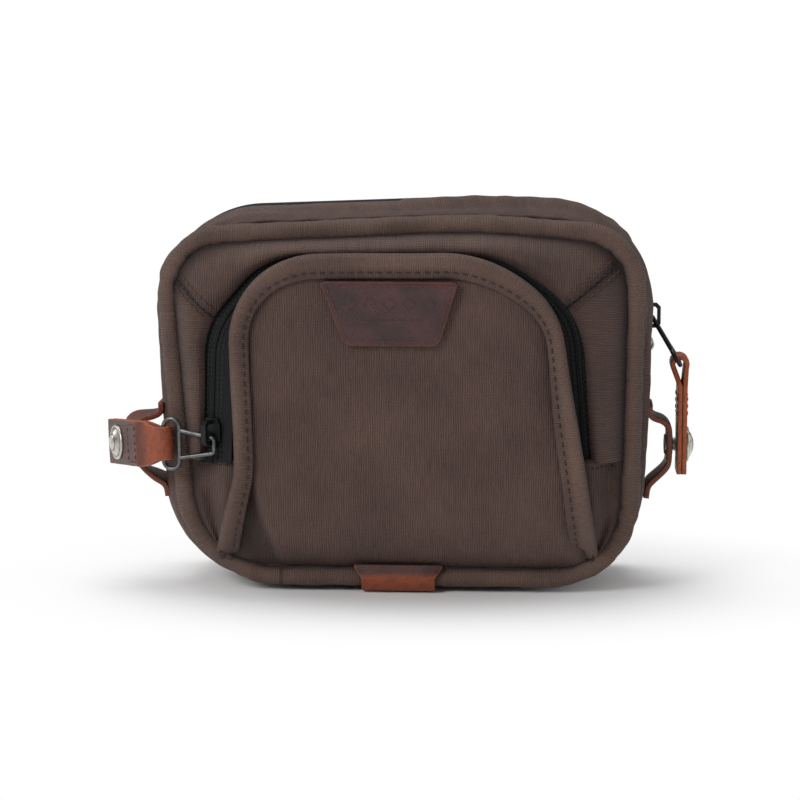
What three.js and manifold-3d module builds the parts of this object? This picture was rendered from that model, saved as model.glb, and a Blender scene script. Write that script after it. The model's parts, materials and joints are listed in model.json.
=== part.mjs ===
// A small waxed-canvas motorcycle bag: a zipped main compartment with piped edges, an arched
// zipped pocket on its front, leather side loops with press studs, and two zip pulls whose
// leather tabs snap to those loops. Millimetres, +Z up, the front of the bag faces -Y.
import * as THREE from 'three';
import { mergeVertices } from 'three/addons/utils/BufferGeometryUtils.js';
import Module from 'manifold-3d';

const wasm = await Module();
wasm.setup();

// ---------------------------------------------------------------- driving dimensions
const GAP = 0.3;                 // running clearance between separate pieces
const CANVAS = 1.4;              // waxed canvas with its seam allowance
const LINING = 0.6;
const LEATHER = 2.0;             // oiled leather, one layer
const ARC_STEPS = 3;             // half the number of straight segments in a corner arc

const PIPING_RADIUS = 4;
const PIPING_Y = 29;             // the two pipings' centres stand this far from the middle
const ZIP_END_Z = 100;           // the main zip ends at this height on both sides

// Corners of the bag's outlines as [x, z, corner radius], clockwise seen from the front.
const FRONT_OUTLINE = [[-91, 0, 34], [-103, 150.5, 28], [30, 157, 260], [102.6, 152, 27], [99.8, 0, 38]];
const GIRTH_OUTLINE = [[-97.5, 0, 36], [-104.5, 157.5, 44], [28, 162.5, 300], [105.4, 160.5, 44], [103, 0, 42]];

const POCKET = {
  gussetEdge: [[-80.8, 56, 0], [-79.6, 111, 34], [-51, 141, 40], [46.5, 141, 40], [75.5, 117, 30], [80.9, 56, 0]],
  zipLine: [[-76.8, 56, 0], [-75, 109, 32], [-48.5, 137, 38], [44.5, 137, 38], [71, 115.5, 28], [76.6, 56, 0]],
  welt: [[-74, 18, 0], [-66, 44, 25], [-68.4, 116, 30], [-50, 140.5, 34], [38.5, 141, 40], [65.5, 118, 26],
    [81.8, 18, 0]],
  rootY: -31.2,                  // where the pocket's gusset meets the piping
  gussetY: -35.6,                // the gusset's zip edge
  zipY: -38.8,                   // middle of the zip tape
  tilt: Math.PI / 6,             // the tape slopes forward from the gusset to the face
  faceY: -44.6,                  // front of the face panel
  bottomZ: 12,                   // its bottom edge, drawn in to the piping
  foldZ: 36,                     // below this height the face curves in
  drawIn: 10.4,
  zipEndZ: 56,
  // Heights of the mitred corner seams, where they meet the piping and the zip.
  seamLeft: { piping: 133, zip: 113 },
  seamRight: { piping: 138.5, zip: 119.5 },
};

const TAPE = { width: 9, thickness: 0.8, halfGap: 0.85 };
const COIL = { width: 2.6, thickness: 1.2, below: 0.45 }; // below: its clearance under the tape
const SLIDER = { length: 12, width: 8.8, plate: 1.2, neck: 1.0, front: 0.8, back: 4.6 };
const BRIDGE = { length: 10.5, height: 5.2, bar: 1.5, width: 2.4 };
const LINK = { wire: 1.8, reach: 22.5, ovalLength: 23, ovalWidth: 8.8, neck: 8, shoulder: 13, corner: 2.2 };
const TAB = { length: 46.5, width: 19, foldWidth: 13.5, snapAt: 35, offset: 1.2, eye: 3.0, waist: 8.5, bendAt: 12 };
const SNAP = { cap: 7.5, socket: 5.2, stud: 3.1, hole: 2.1, post: 1.7, studHeight: 1.4 };
// A side loop, by heights above its stud: its legs leave the bag at the roots and reach the crest.
const LOOP = {
  width: 19, thickness: 2.2, footStand: 1.5,
  top: 18, upperRoot: 13.5, upperCrest: 9.5, lowerCrest: -8, lowerRoot: -15.5, bottom: -22,
};
const BACK_LOOP = { x: 52, width: 25, halfHeight: 34, slot: 22, stand: 5.2, z: 92 };
const BOTTOM_TAB = { halfWidth: 16.5, top: 9.2, end: 8 };

const MAIN_SLIDER_Z = 112;       // height of the main slider's middle, zipped shut
const POCKET_SLIDER_Z = 66.5;    // height of the pocket slider's middle, zipped shut

// How the pulls rest, in radians: how far each part leans from the direction it would hang or point in.
const { degToRad } = THREE.MathUtils;
const MAIN_PULL = { linkLean: degToRad(31), drop: 1 };
const POCKET_PULL = {
  linkBack: degToRad(14),        // the link runs left, this far back
  tabBack: degToRad(32),         // the tab starts this far back
  tabBend: degToRad(30),         // and bends this much further
  tabDroop: degToRad(6.5),       // its end hangs below the level
  linkGrip: 2.6,                 // the narrow end of the link reaches past the bridge's foot
};

// ---------------------------------------------------------------- materials
function material(color, roughness, metalness = 0) {
  return new THREE.MeshStandardMaterial({ color, roughness, metalness });
}
const canvas = material(0x57473f, 0.85);
const lining = material(0x2b2a28, 0.9);
const board = material(0x1d1d1f, 0.6);
const zipTape = material(0x17191a, 0.75);
const zipCoil = material(0x0e0f10, 0.45);
const leather = material(0x6b3520, 0.55);
const darkMetal = material(0x1b1c1e, 0.35, 0.9);
const wireMetal = material(0x5a5d5f, 0.3, 1.0);
const nickel = material(0xb9b4ab, 0.28, 1.0);

// ---------------------------------------------------------------- paths in the XZ plane
// Every path runs clockwise seen from the front, so its left-hand side faces outwards.
const vec = (x, z) => new THREE.Vector2(x, z);

function cornerArc(before, corner, after, radius) {
  const toBefore = before.clone().sub(corner).normalize();
  const toAfter = after.clone().sub(corner).normalize();
  const half = Math.acos(toBefore.dot(toAfter)) / 2;
  const centre = toBefore.clone().add(toAfter).normalize().multiplyScalar(radius / Math.sin(half)).add(corner);
  const reach = radius / Math.tan(half);
  return {
    centre,
    start: corner.clone().addScaledVector(toBefore, reach),
    end: corner.clone().addScaledVector(toAfter, reach),
  };
}

function arcAt(corners, index) {
  const at = (i) => vec(...corners[(i + corners.length) % corners.length]);
  return cornerArc(at(index - 1), at(index), at(index + 1), corners[index][2]);
}

// The points of a path through corners [x, z, radius]; the ends of an open path have no arc.
function roundedPath(corners, closed) {
  const path = new THREE.Path();
  corners.forEach(([x, z, radius], i) => {
    if (!radius) {
      if (i === 0) path.moveTo(x, z);
      else path.lineTo(x, z);
      return;
    }
    const { centre, start, end } = arcAt(corners, i);
    if (i === 0) path.moveTo(start.x, start.y);
    else path.lineTo(start.x, start.y);
    const angle = (p) => Math.atan2(p.y - centre.y, p.x - centre.x);
    const turn = end.clone().sub(centre).cross(start.clone().sub(centre));
    path.absarc(centre.x, centre.y, radius, angle(start), angle(end), turn > 0);
  });
  if (closed) path.closePath();
  const points = path.getPoints(ARC_STEPS).filter((p, i, all) => i === 0 || p.distanceTo(all[i - 1]) > 1e-3);
  if (closed && points[0].distanceTo(points.at(-1)) < 1e-3) points.pop();
  return points;
}

const tangentAt = (points, i, closed) => {
  const n = points.length;
  const before = closed ? points[(i - 1 + n) % n] : points[Math.max(i - 1, 0)];
  const after = closed ? points[(i + 1) % n] : points[Math.min(i + 1, n - 1)];
  return after.clone().sub(before).normalize();
};

const outwardAt = (points, i, closed) => {
  const t = tangentAt(points, i, closed);
  return vec(-t.y, t.x);
};

const offsetPath = (points, distance, closed) =>
  points.map((p, i) => p.clone().addScaledVector(outwardAt(points, i, closed), distance));

// Where a path crosses a height on its left (-1) or right (+1) side: the place and its distance along.
function crossing(points, z, side) {
  let walked = 0;
  let found = null;
  points.forEach((a, i) => {
    const b = points[(i + 1) % points.length];
    const share = (z - a.y) / (b.y - a.y);
    const spot = a.clone().lerp(b, share);
    const beyond = !found || side * spot.x > side * found.spot.x;
    if (share >= 0 && share <= 1 && beyond) found = { spot, at: walked + share * a.distanceTo(b) };
    walked += a.distanceTo(b);
  });
  return { ...found, around: walked };
}

const heightSpot = (points, z, side) => crossing(points, z, side).spot;

// Evenly spaced points along a path between two distances; a closed path may run past its start.
function between(points, from, to, count) {
  const ring = [...points, points[0]];
  const around = ring.slice(1).reduce((sum, p, i) => sum + p.distanceTo(ring[i]), 0);
  const span = to >= from ? to - from : to - from + around;
  return Array.from({ length: count }, (_, i) => {
    let left = (from + (span * i) / (count - 1)) % around;
    let k = 0;
    while (k + 2 < ring.length && left > ring[k].distanceTo(ring[k + 1])) {
      left -= ring[k].distanceTo(ring[k + 1]);
      k += 1;
    }
    return ring[k].clone().lerp(ring[k + 1], left / ring[k].distanceTo(ring[k + 1]));
  });
}

// An open path redrawn with evenly spaced points.
function evenly(points, count) {
  const length = points.slice(1).reduce((sum, p, i) => sum + p.distanceTo(points[i]), 0);
  return between(points, 0, length - 1e-6, count);
}

// A path from a height on one side to a height on another, clockwise: each end is [side, z].
function stretch(points, [sideA, zA], [sideB, zB], count) {
  return between(points, crossing(points, zA, sideA).at, crossing(points, zB, sideB).at, count);
}

const raised = (points, yAt) => points.map((p) => new THREE.Vector3(p.x, yAt(p.y), p.y));

// ---------------------------------------------------------------- solids
function fromFaces(vertices, faces) {
  let volume = 0;
  for (const [a, b, c] of faces) volume += vertices[a].dot(vertices[b].clone().cross(vertices[c]));
  const geometry = new THREE.BufferGeometry().setFromPoints(vertices);
  return geometry.setIndex((volume < 0 ? faces.map(([a, b, c]) => [a, c, b]) : faces).flat());
}

// Skins rings of points, each the same section carried along; open skins are capped.
function skin(rings, profile, closed = false) {
  const m = profile.length;
  const faces = [];
  const links = closed ? rings.length : rings.length - 1;
  for (let i = 0; i < links; i++) {
    for (let j = 0; j < m; j++) {
      const [a, b] = [i * m + j, i * m + ((j + 1) % m)];
      const [c, d] = [((i + 1) % rings.length) * m + j, ((i + 1) % rings.length) * m + ((j + 1) % m)];
      faces.push([a, c, b], [b, c, d]);
    }
  }
  if (!closed) {
    const last = (rings.length - 1) * m;
    const clockwise = THREE.ShapeUtils.isClockWise(profile);
    for (const [a, b, c] of THREE.ShapeUtils.triangulateShape(profile, [])) {
      faces.push(clockwise ? [a, c, b] : [a, b, c], clockwise ? [last + a, last + b, last + c]
        : [last + a, last + c, last + b]);
    }
  }
  return fromFaces(rings.flat(), faces);
}

// Sweeps a section of [outward, y] corners along a path; shift(z) moves it back at each height.
function sweep(points, section, closed = false, shift = () => 0) {
  const rings = points.map((p, i) => {
    const out = outwardAt(points, i, closed);
    return section.map(([o, y]) =>
      new THREE.Vector3(p.x + out.x * o, y + shift(p.y + out.y * o), p.y + out.y * o));
  });
  return skin(rings, section.map(([o, y]) => vec(o, y)), closed);
}

const round = (radius, out, y, sides = 8) => Array.from({ length: sides }, (_, i) => {
  const a = ((i + 0.5) / sides) * 2 * Math.PI;
  return [out + radius * Math.cos(a), y + radius * Math.sin(a)];
});

// A sheet of fabric between two edges, each a list of 3-D points, with its thickness towards +Y.
function sheet(edgeA, edgeB, thickness) {
  const back = new THREE.Vector3(0, thickness, 0);
  const rings = edgeA.map((a, i) => [a, edgeB[i], edgeB[i].clone().add(back), a.clone().add(back)]);
  return skin(rings, [vec(0, 0), vec(1, 0), vec(1, 1), vec(0, 1)]);
}

// A flat strap along a centreline; half(point) is the vector from its middle to its edge.
function strap(points, half, thickness) {
  const rings = points.map((p, i) => {
    const along = points[Math.min(i + 1, points.length - 1)].clone().sub(points[Math.max(i - 1, 0)]).normalize();
    const across = half(p);
    const up = along.clone().cross(across).normalize().multiplyScalar(thickness / 2);
    return [[-1, -1], [1, -1], [1, 1], [-1, 1]].map(([s, t]) =>
      p.clone().addScaledVector(across, s).addScaledVector(up, t));
  });
  return skin(rings, [vec(0, 0), vec(1, 0), vec(1, 1), vec(0, 1)]);
}

// A plate in the XZ plane, from its front face to its back face.
function plate(points, front, back) {
  return new THREE.ExtrudeGeometry(new THREE.Shape(points), { depth: back - front, bevelEnabled: false })
    .rotateX(Math.PI / 2).translate(0, back, 0);
}

function box(x, y, z, centre = [0, 0, 0]) {
  return new THREE.BoxGeometry(x, y, z).translate(...centre);
}

// A turned piece about +X: profile corners are [radius, x], starting and ending on the axis or closed.
const turned = (profile, sides = 20) =>
  new THREE.LatheGeometry(profile.map(([r, h]) => vec(r, h)), sides).rotateZ(-Math.PI / 2);

function solid(geometry) {
  const bare = geometry.clone();
  bare.deleteAttribute('normal');
  bare.deleteAttribute('uv');
  const merged = mergeVertices(bare, 1e-4);
  return new wasm.Manifold(new wasm.Mesh({
    numProp: 3,
    vertProperties: merged.attributes.position.array,
    triVerts: new Uint32Array(merged.index.array),
  }));
}

function geometryOf(made) {
  const mesh = made.getMesh();
  return new THREE.BufferGeometry()
    .setAttribute('position', new THREE.BufferAttribute(mesh.vertProperties, 3))
    .setIndex(new THREE.BufferAttribute(mesh.triVerts, 1));
}

const cut = (geometry, tool) => geometryOf(solid(geometry).subtract(solid(tool)));
const join = (...parts) => geometryOf(parts.map(solid).reduce((a, b) => a.add(b)));

function mesh(name, geometry, look) {
  const made = new THREE.Mesh(geometry, look);
  made.name = name;
  return made;
}

// ---------------------------------------------------------------- outlines used by many pieces
const frontOutline = roundedPath(FRONT_OUTLINE, true);
const girth = roundedPath(GIRTH_OUTLINE, true);
const insidePiping = offsetPath(frontOutline, -2 * PIPING_RADIUS - 0.8, true);
const pocketGussetEdge = roundedPath(POCKET.gussetEdge, false);
const pocketZipLine = roundedPath(POCKET.zipLine, false);
const pocketWeltLine = evenly(roundedPath(POCKET.welt, false), 42);

const girthX = (z, side) => heightSpot(girth, z, side).x;
const overTop = (z, count) => stretch(girth, [-1, z], [1, z], count);
const underneath = (z, count) => stretch(girth, [1, z], [-1, z], count);

// How far the pocket's front is drawn back towards the piping at a height.
const drawnIn = (z) =>
  POCKET.drawIn * (1 - THREE.MathUtils.smoothstep(z, POCKET.bottomZ - 6, POCKET.foldZ));

// ---------------------------------------------------------------- main body, behind the main zip
const skinSection = (outer) => [...outer, ...outer.map(([o, y]) => [o - CANVAS, y]).reverse()];
// The rear half of the gusset's crowned section as [outward, y], from the piping to the zip.
const HALF_GUSSET = [[-4.5, PIPING_Y - PIPING_RADIUS - 0.4], [-1.2, 18], [0, 9], [0, 5.2]];

function gussets() {
  const front = HALF_GUSSET.map(([o, y]) => [o, -y]);
  const around = [...front.slice(0, -1), ...HALF_GUSSET.slice(0, -1).reverse()];
  return {
    rear: mesh('rear_gusset', sweep(overTop(ZIP_END_Z + GAP, 32), skinSection(HALF_GUSSET)), canvas),
    front: mesh('front_gusset', sweep(overTop(ZIP_END_Z + GAP, 32), skinSection(front)), canvas),
    bottom: mesh('bottom_gusset', sweep(underneath(ZIP_END_Z - GAP, 32), skinSection(around)), canvas),
  };
}

const TAPE_OUT = -2.6;           // middle of the main tape, measured outwards from the girth

function mainZipHalf(sign, label) {
  const path = overTop(ZIP_END_Z + 1, 36);
  const tapeSection = [[TAPE_OUT + 0.4, sign * TAPE.halfGap], [TAPE_OUT + 0.4, sign * TAPE.width],
    [TAPE_OUT - 0.4, sign * TAPE.width], [TAPE_OUT - 0.4, sign * TAPE.halfGap]];
  const coilTop = TAPE_OUT - TAPE.thickness / 2 - COIL.below;
  const coilSection = [[coilTop, sign * TAPE.halfGap], [coilTop, sign * (TAPE.halfGap + COIL.width)],
    [coilTop - COIL.thickness, sign * (TAPE.halfGap + COIL.width)],
    [coilTop - COIL.thickness, sign * TAPE.halfGap]];
  return [
    mesh(`${label}_zip_tape`, sweep(path, tapeSection), zipTape),
    mesh(`${label}_zip_coil`, sweep(overTop(ZIP_END_Z + 5, 36), coilSection), zipCoil),
  ];
}

function mainZipStop(sign, label) {
  const z = ZIP_END_Z + 3;
  return mesh(`main_zip_stop_${label}`, box(2, 5.6, 2.4, [girthX(z, sign) - sign * 4.5, 0, z]), darkMetal);
}

function backPanel() {
  const inner = offsetPath(insidePiping, -1.5, true);
  return [
    mesh('back_panel', plate(insidePiping, PIPING_Y - 0.7, PIPING_Y + 0.8), canvas),
    mesh('back_stiffener', plate(inner, PIPING_Y - 2.8, PIPING_Y - 1.1), board),
    mesh('back_lining', plate(inner, PIPING_Y - 3.1 - LINING, PIPING_Y - 3.1), lining),
    mesh('rear_piping', sweep(frontOutline, round(PIPING_RADIUS, -PIPING_RADIUS, PIPING_Y), true), canvas),
  ];
}

// A leather keeper on the back panel; a mounting strap passes through its slot sideways.
function backLoop(side, label) {
  const y = (stand) => PIPING_Y + 0.8 + GAP + LEATHER / 2 + stand;
  const { halfHeight: h, slot, stand } = BACK_LOOP;
  const profile = [[-h, 0], [-slot - 3, 0], [-slot - 1, 0.8], [-slot + 2, stand - 0.8], [-slot + 4, stand],
    [slot - 4, stand], [slot - 2, stand - 0.8], [slot + 1, 0.8], [slot + 3, 0], [h, 0]];
  const centreline = profile.map(([z, out]) => new THREE.Vector3(side * BACK_LOOP.x, y(out), BACK_LOOP.z + z));
  const half = new THREE.Vector3(BACK_LOOP.width / 2, 0, 0);
  return mesh(`back_loop_${label}`, strap(centreline, () => half, LEATHER), leather);
}

// The leather tab that wraps the front piping at the bottom centre.
function bottomTab() {
  const front = -PIPING_Y - PIPING_RADIUS - 2.2;
  const under = -GAP - LEATHER / 2;
  const path = roundedPath([[front, BOTTOM_TAB.top, 0], [front, under, 4], [BOTTOM_TAB.end, under, 0]], false);
  const centreline = path.map((p) => new THREE.Vector3(0, p.x, p.y));
  const half = new THREE.Vector3(BOTTOM_TAB.halfWidth, 0, 0);
  return mesh('bottom_tab', strap(centreline, () => half, LEATHER), leather);
}

// ---------------------------------------------------------------- side loops with press studs
// stud: where the loop's crest stands behind its stud, and the way the stud faces.
function sideLoop(side, label, stud) {
  const { footStand, thickness, width } = LOOP;
  const z = stud.spot.z;
  const root = girthX(z, side);
  const crest = Math.abs(stud.spot.x - root);
  const twist = Math.atan2(-stud.facing.y, Math.abs(stud.facing.x));
  const outline = roundedPath([[footStand, LOOP.bottom, 0], [footStand, LOOP.lowerRoot, 4],
    [crest, LOOP.lowerCrest, 6], [crest, LOOP.upperCrest, 4], [footStand, LOOP.upperRoot, 3],
    [footStand, LOOP.top, 0]], false);
  // The feet follow the bag's side; the crest stands upright.
  const follow = (up) => (Math.abs(up) > LOOP.upperRoot ? girthX(z + up, side) - root : 0);
  const centreline = outline.map((p) => new THREE.Vector3(side * p.x + follow(p.y), 0, p.y));
  const half = (p) => {
    const turn = twist * THREE.MathUtils.smoothstep(Math.abs(p.x), footStand + 2, crest);
    return new THREE.Vector3(side * Math.sin(turn), Math.cos(turn), 0).multiplyScalar(width / 2);
  };
  const axis = new THREE.Group();
  axis.position.set(side * crest, 0, 0);
  axis.rotation.z = Math.atan2(stud.facing.y, stud.facing.x);
  axis.updateMatrix();

  const drill = turned([[0, -6], [SNAP.hole, -6], [SNAP.hole, 6], [0, 6]], 16).applyMatrix4(axis.matrix);
  const body = cut(strap(centreline, half, thickness), drill);
  const face = thickness / 2;
  const { post, studHeight, stud: head, hole } = SNAP;
  const knob = turned([[0, -face], [post, -face], [post, face + 0.3], [4.2, face + 0.3], [4.2, face + 0.6],
    [head - 0.4, face + 0.7], [head, face + 1.1], [head - 0.5, face + studHeight], [0, face + studHeight]], 16);
  const eyelet = turned([[hole, -face - 1.1], [4.6, -face - 0.9], [4.6, -face - GAP], [hole, -face - GAP],
    [hole, -face - 1.1]], 16);
  axis.add(mesh(`loop_stud_${label}`, knob, nickel), mesh(`loop_eyelet_${label}`, eyelet, nickel));

  const group = new THREE.Group();
  group.position.set(root, stud.spot.y, z);
  group.add(mesh(`side_loop_${label}`, body, leather), axis);
  return group;
}

// ---------------------------------------------------------------- zip sliders and pulls
// A slider runs along its own Z; its bridge stands out along its own -Y.
function slider(label) {
  const { length, width, plate: t, neck, front: ahead, back: behind } = SLIDER;
  const blunt = [[-0.32, -0.5], [0.32, -0.5], [0.5, -0.25], [0.5, 0.25], [0.36, 0.5], [-0.36, 0.5], [-0.5, 0.25],
    [-0.5, -0.25]].map(([x, z]) => vec(x * width, z * length));
  const top = plate(blunt, -ahead - t, -ahead);
  const bottom = plate(blunt, behind, behind + t);
  const post = box(neck, ahead + behind + t, 2.4, [0, (behind - ahead) / 2, length / 2 - 2.2]);
  const foot = -ahead - t - GAP;
  const { length: l, height: h, bar, width: w } = BRIDGE;
  const arch = new THREE.Shape([vec(-l / 2, 0), vec(-l / 2, h - 1.6), vec(-l / 2 + 1.6, h), vec(l / 2 - 1.6, h),
    vec(l / 2, h - 1.6), vec(l / 2, 0), vec(l / 2 - bar, 0), vec(l / 2 - bar, h - bar - 0.9),
    vec(l / 2 - bar - 0.9, h - bar), vec(bar + 0.9 - l / 2, h - bar), vec(bar - l / 2, h - bar - 0.9),
    vec(bar - l / 2, 0)]);
  // The arch is drawn as (travel, height): stand it up so that height points out and travel runs along Z.
  const bridge = new THREE.ExtrudeGeometry(arch, { depth: w, bevelEnabled: false })
    .applyMatrix4(new THREE.Matrix4().set(0, 0, 1, -w / 2, 0, -1, 0, foot, 1, 0, 0, 0, 0, 0, 0, 1));
  const group = new THREE.Group();
  group.add(mesh(`${label}_slider`, join(top, bottom, post), darkMetal),
    mesh(`${label}_slider_bridge`, bridge, darkMetal));
  return group;
}

// From the middle of the tape to the middle of the bridge's tunnel.
const TUNNEL = SLIDER.front + SLIDER.plate + GAP + (BRIDGE.height - BRIDGE.bar) / 2;

// A flat wire link hanging along its own -Z from a pivot along its own Y.
function link(label) {
  const { wire, reach, ovalLength, ovalWidth, neck, shoulder, corner } = LINK;
  const far = reach - ovalWidth / 2 + wire / 2;  // middle of the oval
  const oval = (grow) => {
    const shape = new THREE.Path();
    const [r, straight] = [ovalWidth / 2 + grow, (ovalLength - ovalWidth) / 2];
    shape.absarc(straight, -far, r, -Math.PI / 2, Math.PI / 2, false);
    shape.absarc(-straight, -far, r, Math.PI / 2, 1.5 * Math.PI, false);
    return shape.getPoints(5);
  };
  const trapezoid = (inset) => roundedPath([[-shoulder / 2 + inset, -far + ovalWidth / 2 - wire / 2, 0],
    [-neck / 2 + inset, wire / 2 - inset, corner - inset * 0.6],
    [neck / 2 - inset, wire / 2 - inset, corner - inset * 0.6],
    [shoulder / 2 - inset, -far + ovalWidth / 2 - wire / 2, 0]], false);
  const flat = (shape) =>
    new THREE.ExtrudeGeometry(shape, { depth: wire, bevelEnabled: false }).translate(0, 0, -wire / 2);
  const ring = new THREE.Shape(oval(0));
  ring.holes.push(new THREE.Path(oval(-wire)));
  const legs = new THREE.Shape([...trapezoid(0), ...trapezoid(wire).reverse()]);
  const wireFrame = join(flat(ring), flat(legs));
  const turn = new THREE.Matrix4().makeBasis(new THREE.Vector3(0, 1, 0), new THREE.Vector3(0, 0, 1),
    new THREE.Vector3(1, 0, 0));
  return mesh(`${label}_pull_link`, wireFrame.applyMatrix4(turn), wireMetal);
}

// A folded leather tab hanging along its own -Z from a wire along its own Y; its cap faces +X.
// Past bendAt the tab turns by an angle towards its back.
function tab(label, bend) {
  const { length, width, foldWidth, snapAt, offset, eye, waist, bendAt } = TAB;
  const apart = LEATHER / 2 + 0.1;
  const swing = new THREE.Matrix4().makeTranslation(offset, 0, -bendAt)
    .multiply(new THREE.Matrix4().makeRotationY(bend))
    .multiply(new THREE.Matrix4().makeTranslation(-offset, 0, bendAt));
  const start = degToRad(200);
  const over = Array.from({ length: 8 }, (_, i) => start - (i / 7) * degToRad(220));
  const layer = (side) => [[offset + side * (apart + 0.25), -waist], [offset + side * apart, -bendAt],
    [offset + side * apart, -bendAt - 2], [offset + side * apart, -length]]
    .map(([x, z]) => new THREE.Vector3(x, 0, z)).map((p) => (-p.z > bendAt ? p.applyMatrix4(swing) : p));
  const fold = over.map((a) => new THREE.Vector3(eye * Math.cos(a), 0, eye * Math.sin(a)));
  const half = (p) => new THREE.Vector3(0,
    THREE.MathUtils.lerp(foldWidth, width, THREE.MathUtils.smoothstep(-p.z, 1, waist)) / 2, 0);
  const centreline = [...layer(-1).reverse(), ...fold, ...layer(1)];

  // The hole for the snap, wider through the inner layer so that the socket sits inside the leather.
  const face = apart + LEATHER / 2;
  const drill = turned([[0, -8], [SNAP.socket + 0.3, -8], [SNAP.socket + 0.3, -0.6], [SNAP.hole, -0.6],
    [SNAP.hole, 8], [0, 8]]).translate(offset, 0, -snapAt).applyMatrix4(swing);
  const body = cut(strap(centreline, half, LEATHER), drill);

  const cap = turned([[0, -0.3], [SNAP.post, -0.3], [SNAP.post, face + GAP], [SNAP.cap - 0.3, face + GAP],
    [SNAP.cap, face + 0.7], [SNAP.cap - 0.9, face + 1.5], [4.4, face + 2.4], [0, face + 2.9]]);
  const socket = turned([[0, -1.5], [SNAP.stud + 0.4, -1.5], [SNAP.stud + 0.4, -face], [SNAP.socket, -face],
    [SNAP.socket, -0.9], [0, -0.9]], 16);
  const snap = new THREE.Group();
  snap.position.set(offset, 0, -snapAt);
  snap.add(mesh(`${label}_snap_cap`, cap, nickel), mesh(`${label}_snap_socket`, socket, nickel));
  const bent = new THREE.Group();
  bent.applyMatrix4(swing);
  bent.add(snap);
  const group = new THREE.Group();
  group.add(mesh(`${label}_pull_tab`, body, leather), bent);
  group.userData.snap = snap;
  return group;
}

function place(group, position, basis) {
  group.position.copy(position);
  group.setRotationFromMatrix(new THREE.Matrix4().makeBasis(...basis));
  return group;
}

function mainPull() {
  const { linkLean, drop } = MAIN_PULL;
  const x = girthX(MAIN_SLIDER_Z, 1) + TAPE_OUT;
  const slide = slider('main');
  slide.position.set(x, 0, MAIN_SLIDER_Z);
  slide.rotation.z = Math.PI / 2;
  const hang = link('main');
  hang.position.set(x + TUNNEL, 0, MAIN_SLIDER_Z - drop);
  hang.rotation.y = -linkLean;
  const flap = tab('main', 0);
  flap.position.copy(hang.position)
    .add(new THREE.Vector3(Math.sin(linkLean), 0, -Math.cos(linkLean)).multiplyScalar(LINK.reach));
  return { slide, hang, flap };
}

function pocketPull() {
  const { tilt, zipY } = POCKET;
  const { linkBack, tabBack, tabBend, tabDroop, linkGrip } = POCKET_PULL;
  const { x } = heightSpot(pocketZipLine, POCKET_SLIDER_Z, -1);
  const slide = slider('pocket');
  slide.position.set(x, zipY, POCKET_SLIDER_Z);
  slide.rotation.z = -tilt;
  const foot = new THREE.Vector3(x - Math.sin(tilt) * TUNNEL, zipY - Math.cos(tilt) * TUNNEL,
    POCKET_SLIDER_Z - BRIDGE.length / 2);
  const up = new THREE.Vector3(0, 0, 1);
  const sideways = (back, droop = 0) => new THREE.Vector3(-Math.cos(back) * Math.cos(droop),
    Math.sin(back) * Math.cos(droop), -Math.sin(droop));
  // A frame whose -Z runs along a direction and whose X faces the front left.
  const facing = (along) => {
    const front = up.clone().cross(along).normalize();
    return [front, front.clone().cross(along), along.clone().negate()];
  };

  // The link is pulled sideways: the lower foot of the bridge stands inside its narrow end.
  const along = sideways(linkBack);
  const hang = place(link('pocket'), foot.clone().addScaledVector(along, -linkGrip), facing(along));
  // The tab's far part points at the stud, so its cap faces level; the part at the wire is turned to suit.
  const flap = place(tab('pocket', tabBend), hang.position.clone().addScaledVector(along, LINK.reach),
    facing(sideways(tabBack + tabBend, tabDroop)));
  flap.rotateY(-tabBend);
  return { slide, hang, flap };
}

// The place on a side loop's crest that a tab's snap closes onto, and the way it faces.
function studFor(flap) {
  flap.updateMatrixWorld(true);
  const { snap } = flap.userData;
  // The zip's line leans, so a rising tab comes a little closer to the stud.
  const stack = LEATHER + 0.1 + 2 * GAP + SNAP.studHeight + LOOP.thickness / 2;
  return {
    spot: snap.localToWorld(new THREE.Vector3(-stack, 0, 0)),
    facing: new THREE.Vector3(1, 0, 0).transformDirection(snap.matrixWorld),
  };
}

// ---------------------------------------------------------------- front shell and its pocket
function frontPanel() {
  const inner = offsetPath(insidePiping, -1.5, true);
  return [
    mesh('front_panel', plate(insidePiping, -PIPING_Y - 0.8, -PIPING_Y + 0.6), canvas),
    mesh('front_lining', plate(inner, -PIPING_Y + 1, -PIPING_Y + 1 + LINING), lining),
    mesh('front_piping', sweep(frontOutline, round(PIPING_RADIUS, -PIPING_RADIUS, -PIPING_Y), true), canvas),
  ];
}

// The gusset between the front piping and the pocket zip, in three strips with mitred seams.
function pocketGussets() {
  const { rootY, gussetY, zipEndZ, seamLeft, seamRight } = POCKET;
  const strip = (name, from, to, count) => mesh(name, sheet(
    raised(stretch(insidePiping, [from.side, from.piping], [to.side, to.piping], count), () => rootY),
    raised(stretch(pocketGussetEdge, [from.side, from.zip], [to.side, to.zip], count), () => gussetY),
    CANVAS), canvas);
  const beside = (seam, side, gap) => ({ side, piping: seam.piping + gap, zip: seam.zip + gap });
  const low = (side) => ({ side, piping: zipEndZ + GAP, zip: zipEndZ + GAP });
  return [
    strip('pocket_gusset_left', low(-1), beside(seamLeft, -1, -GAP), 10),
    strip('pocket_gusset_top', beside(seamLeft, -1, GAP), beside(seamRight, 1, GAP), 24),
    strip('pocket_gusset_right', beside(seamRight, 1, -GAP), low(1), 10),
  ];
}

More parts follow.
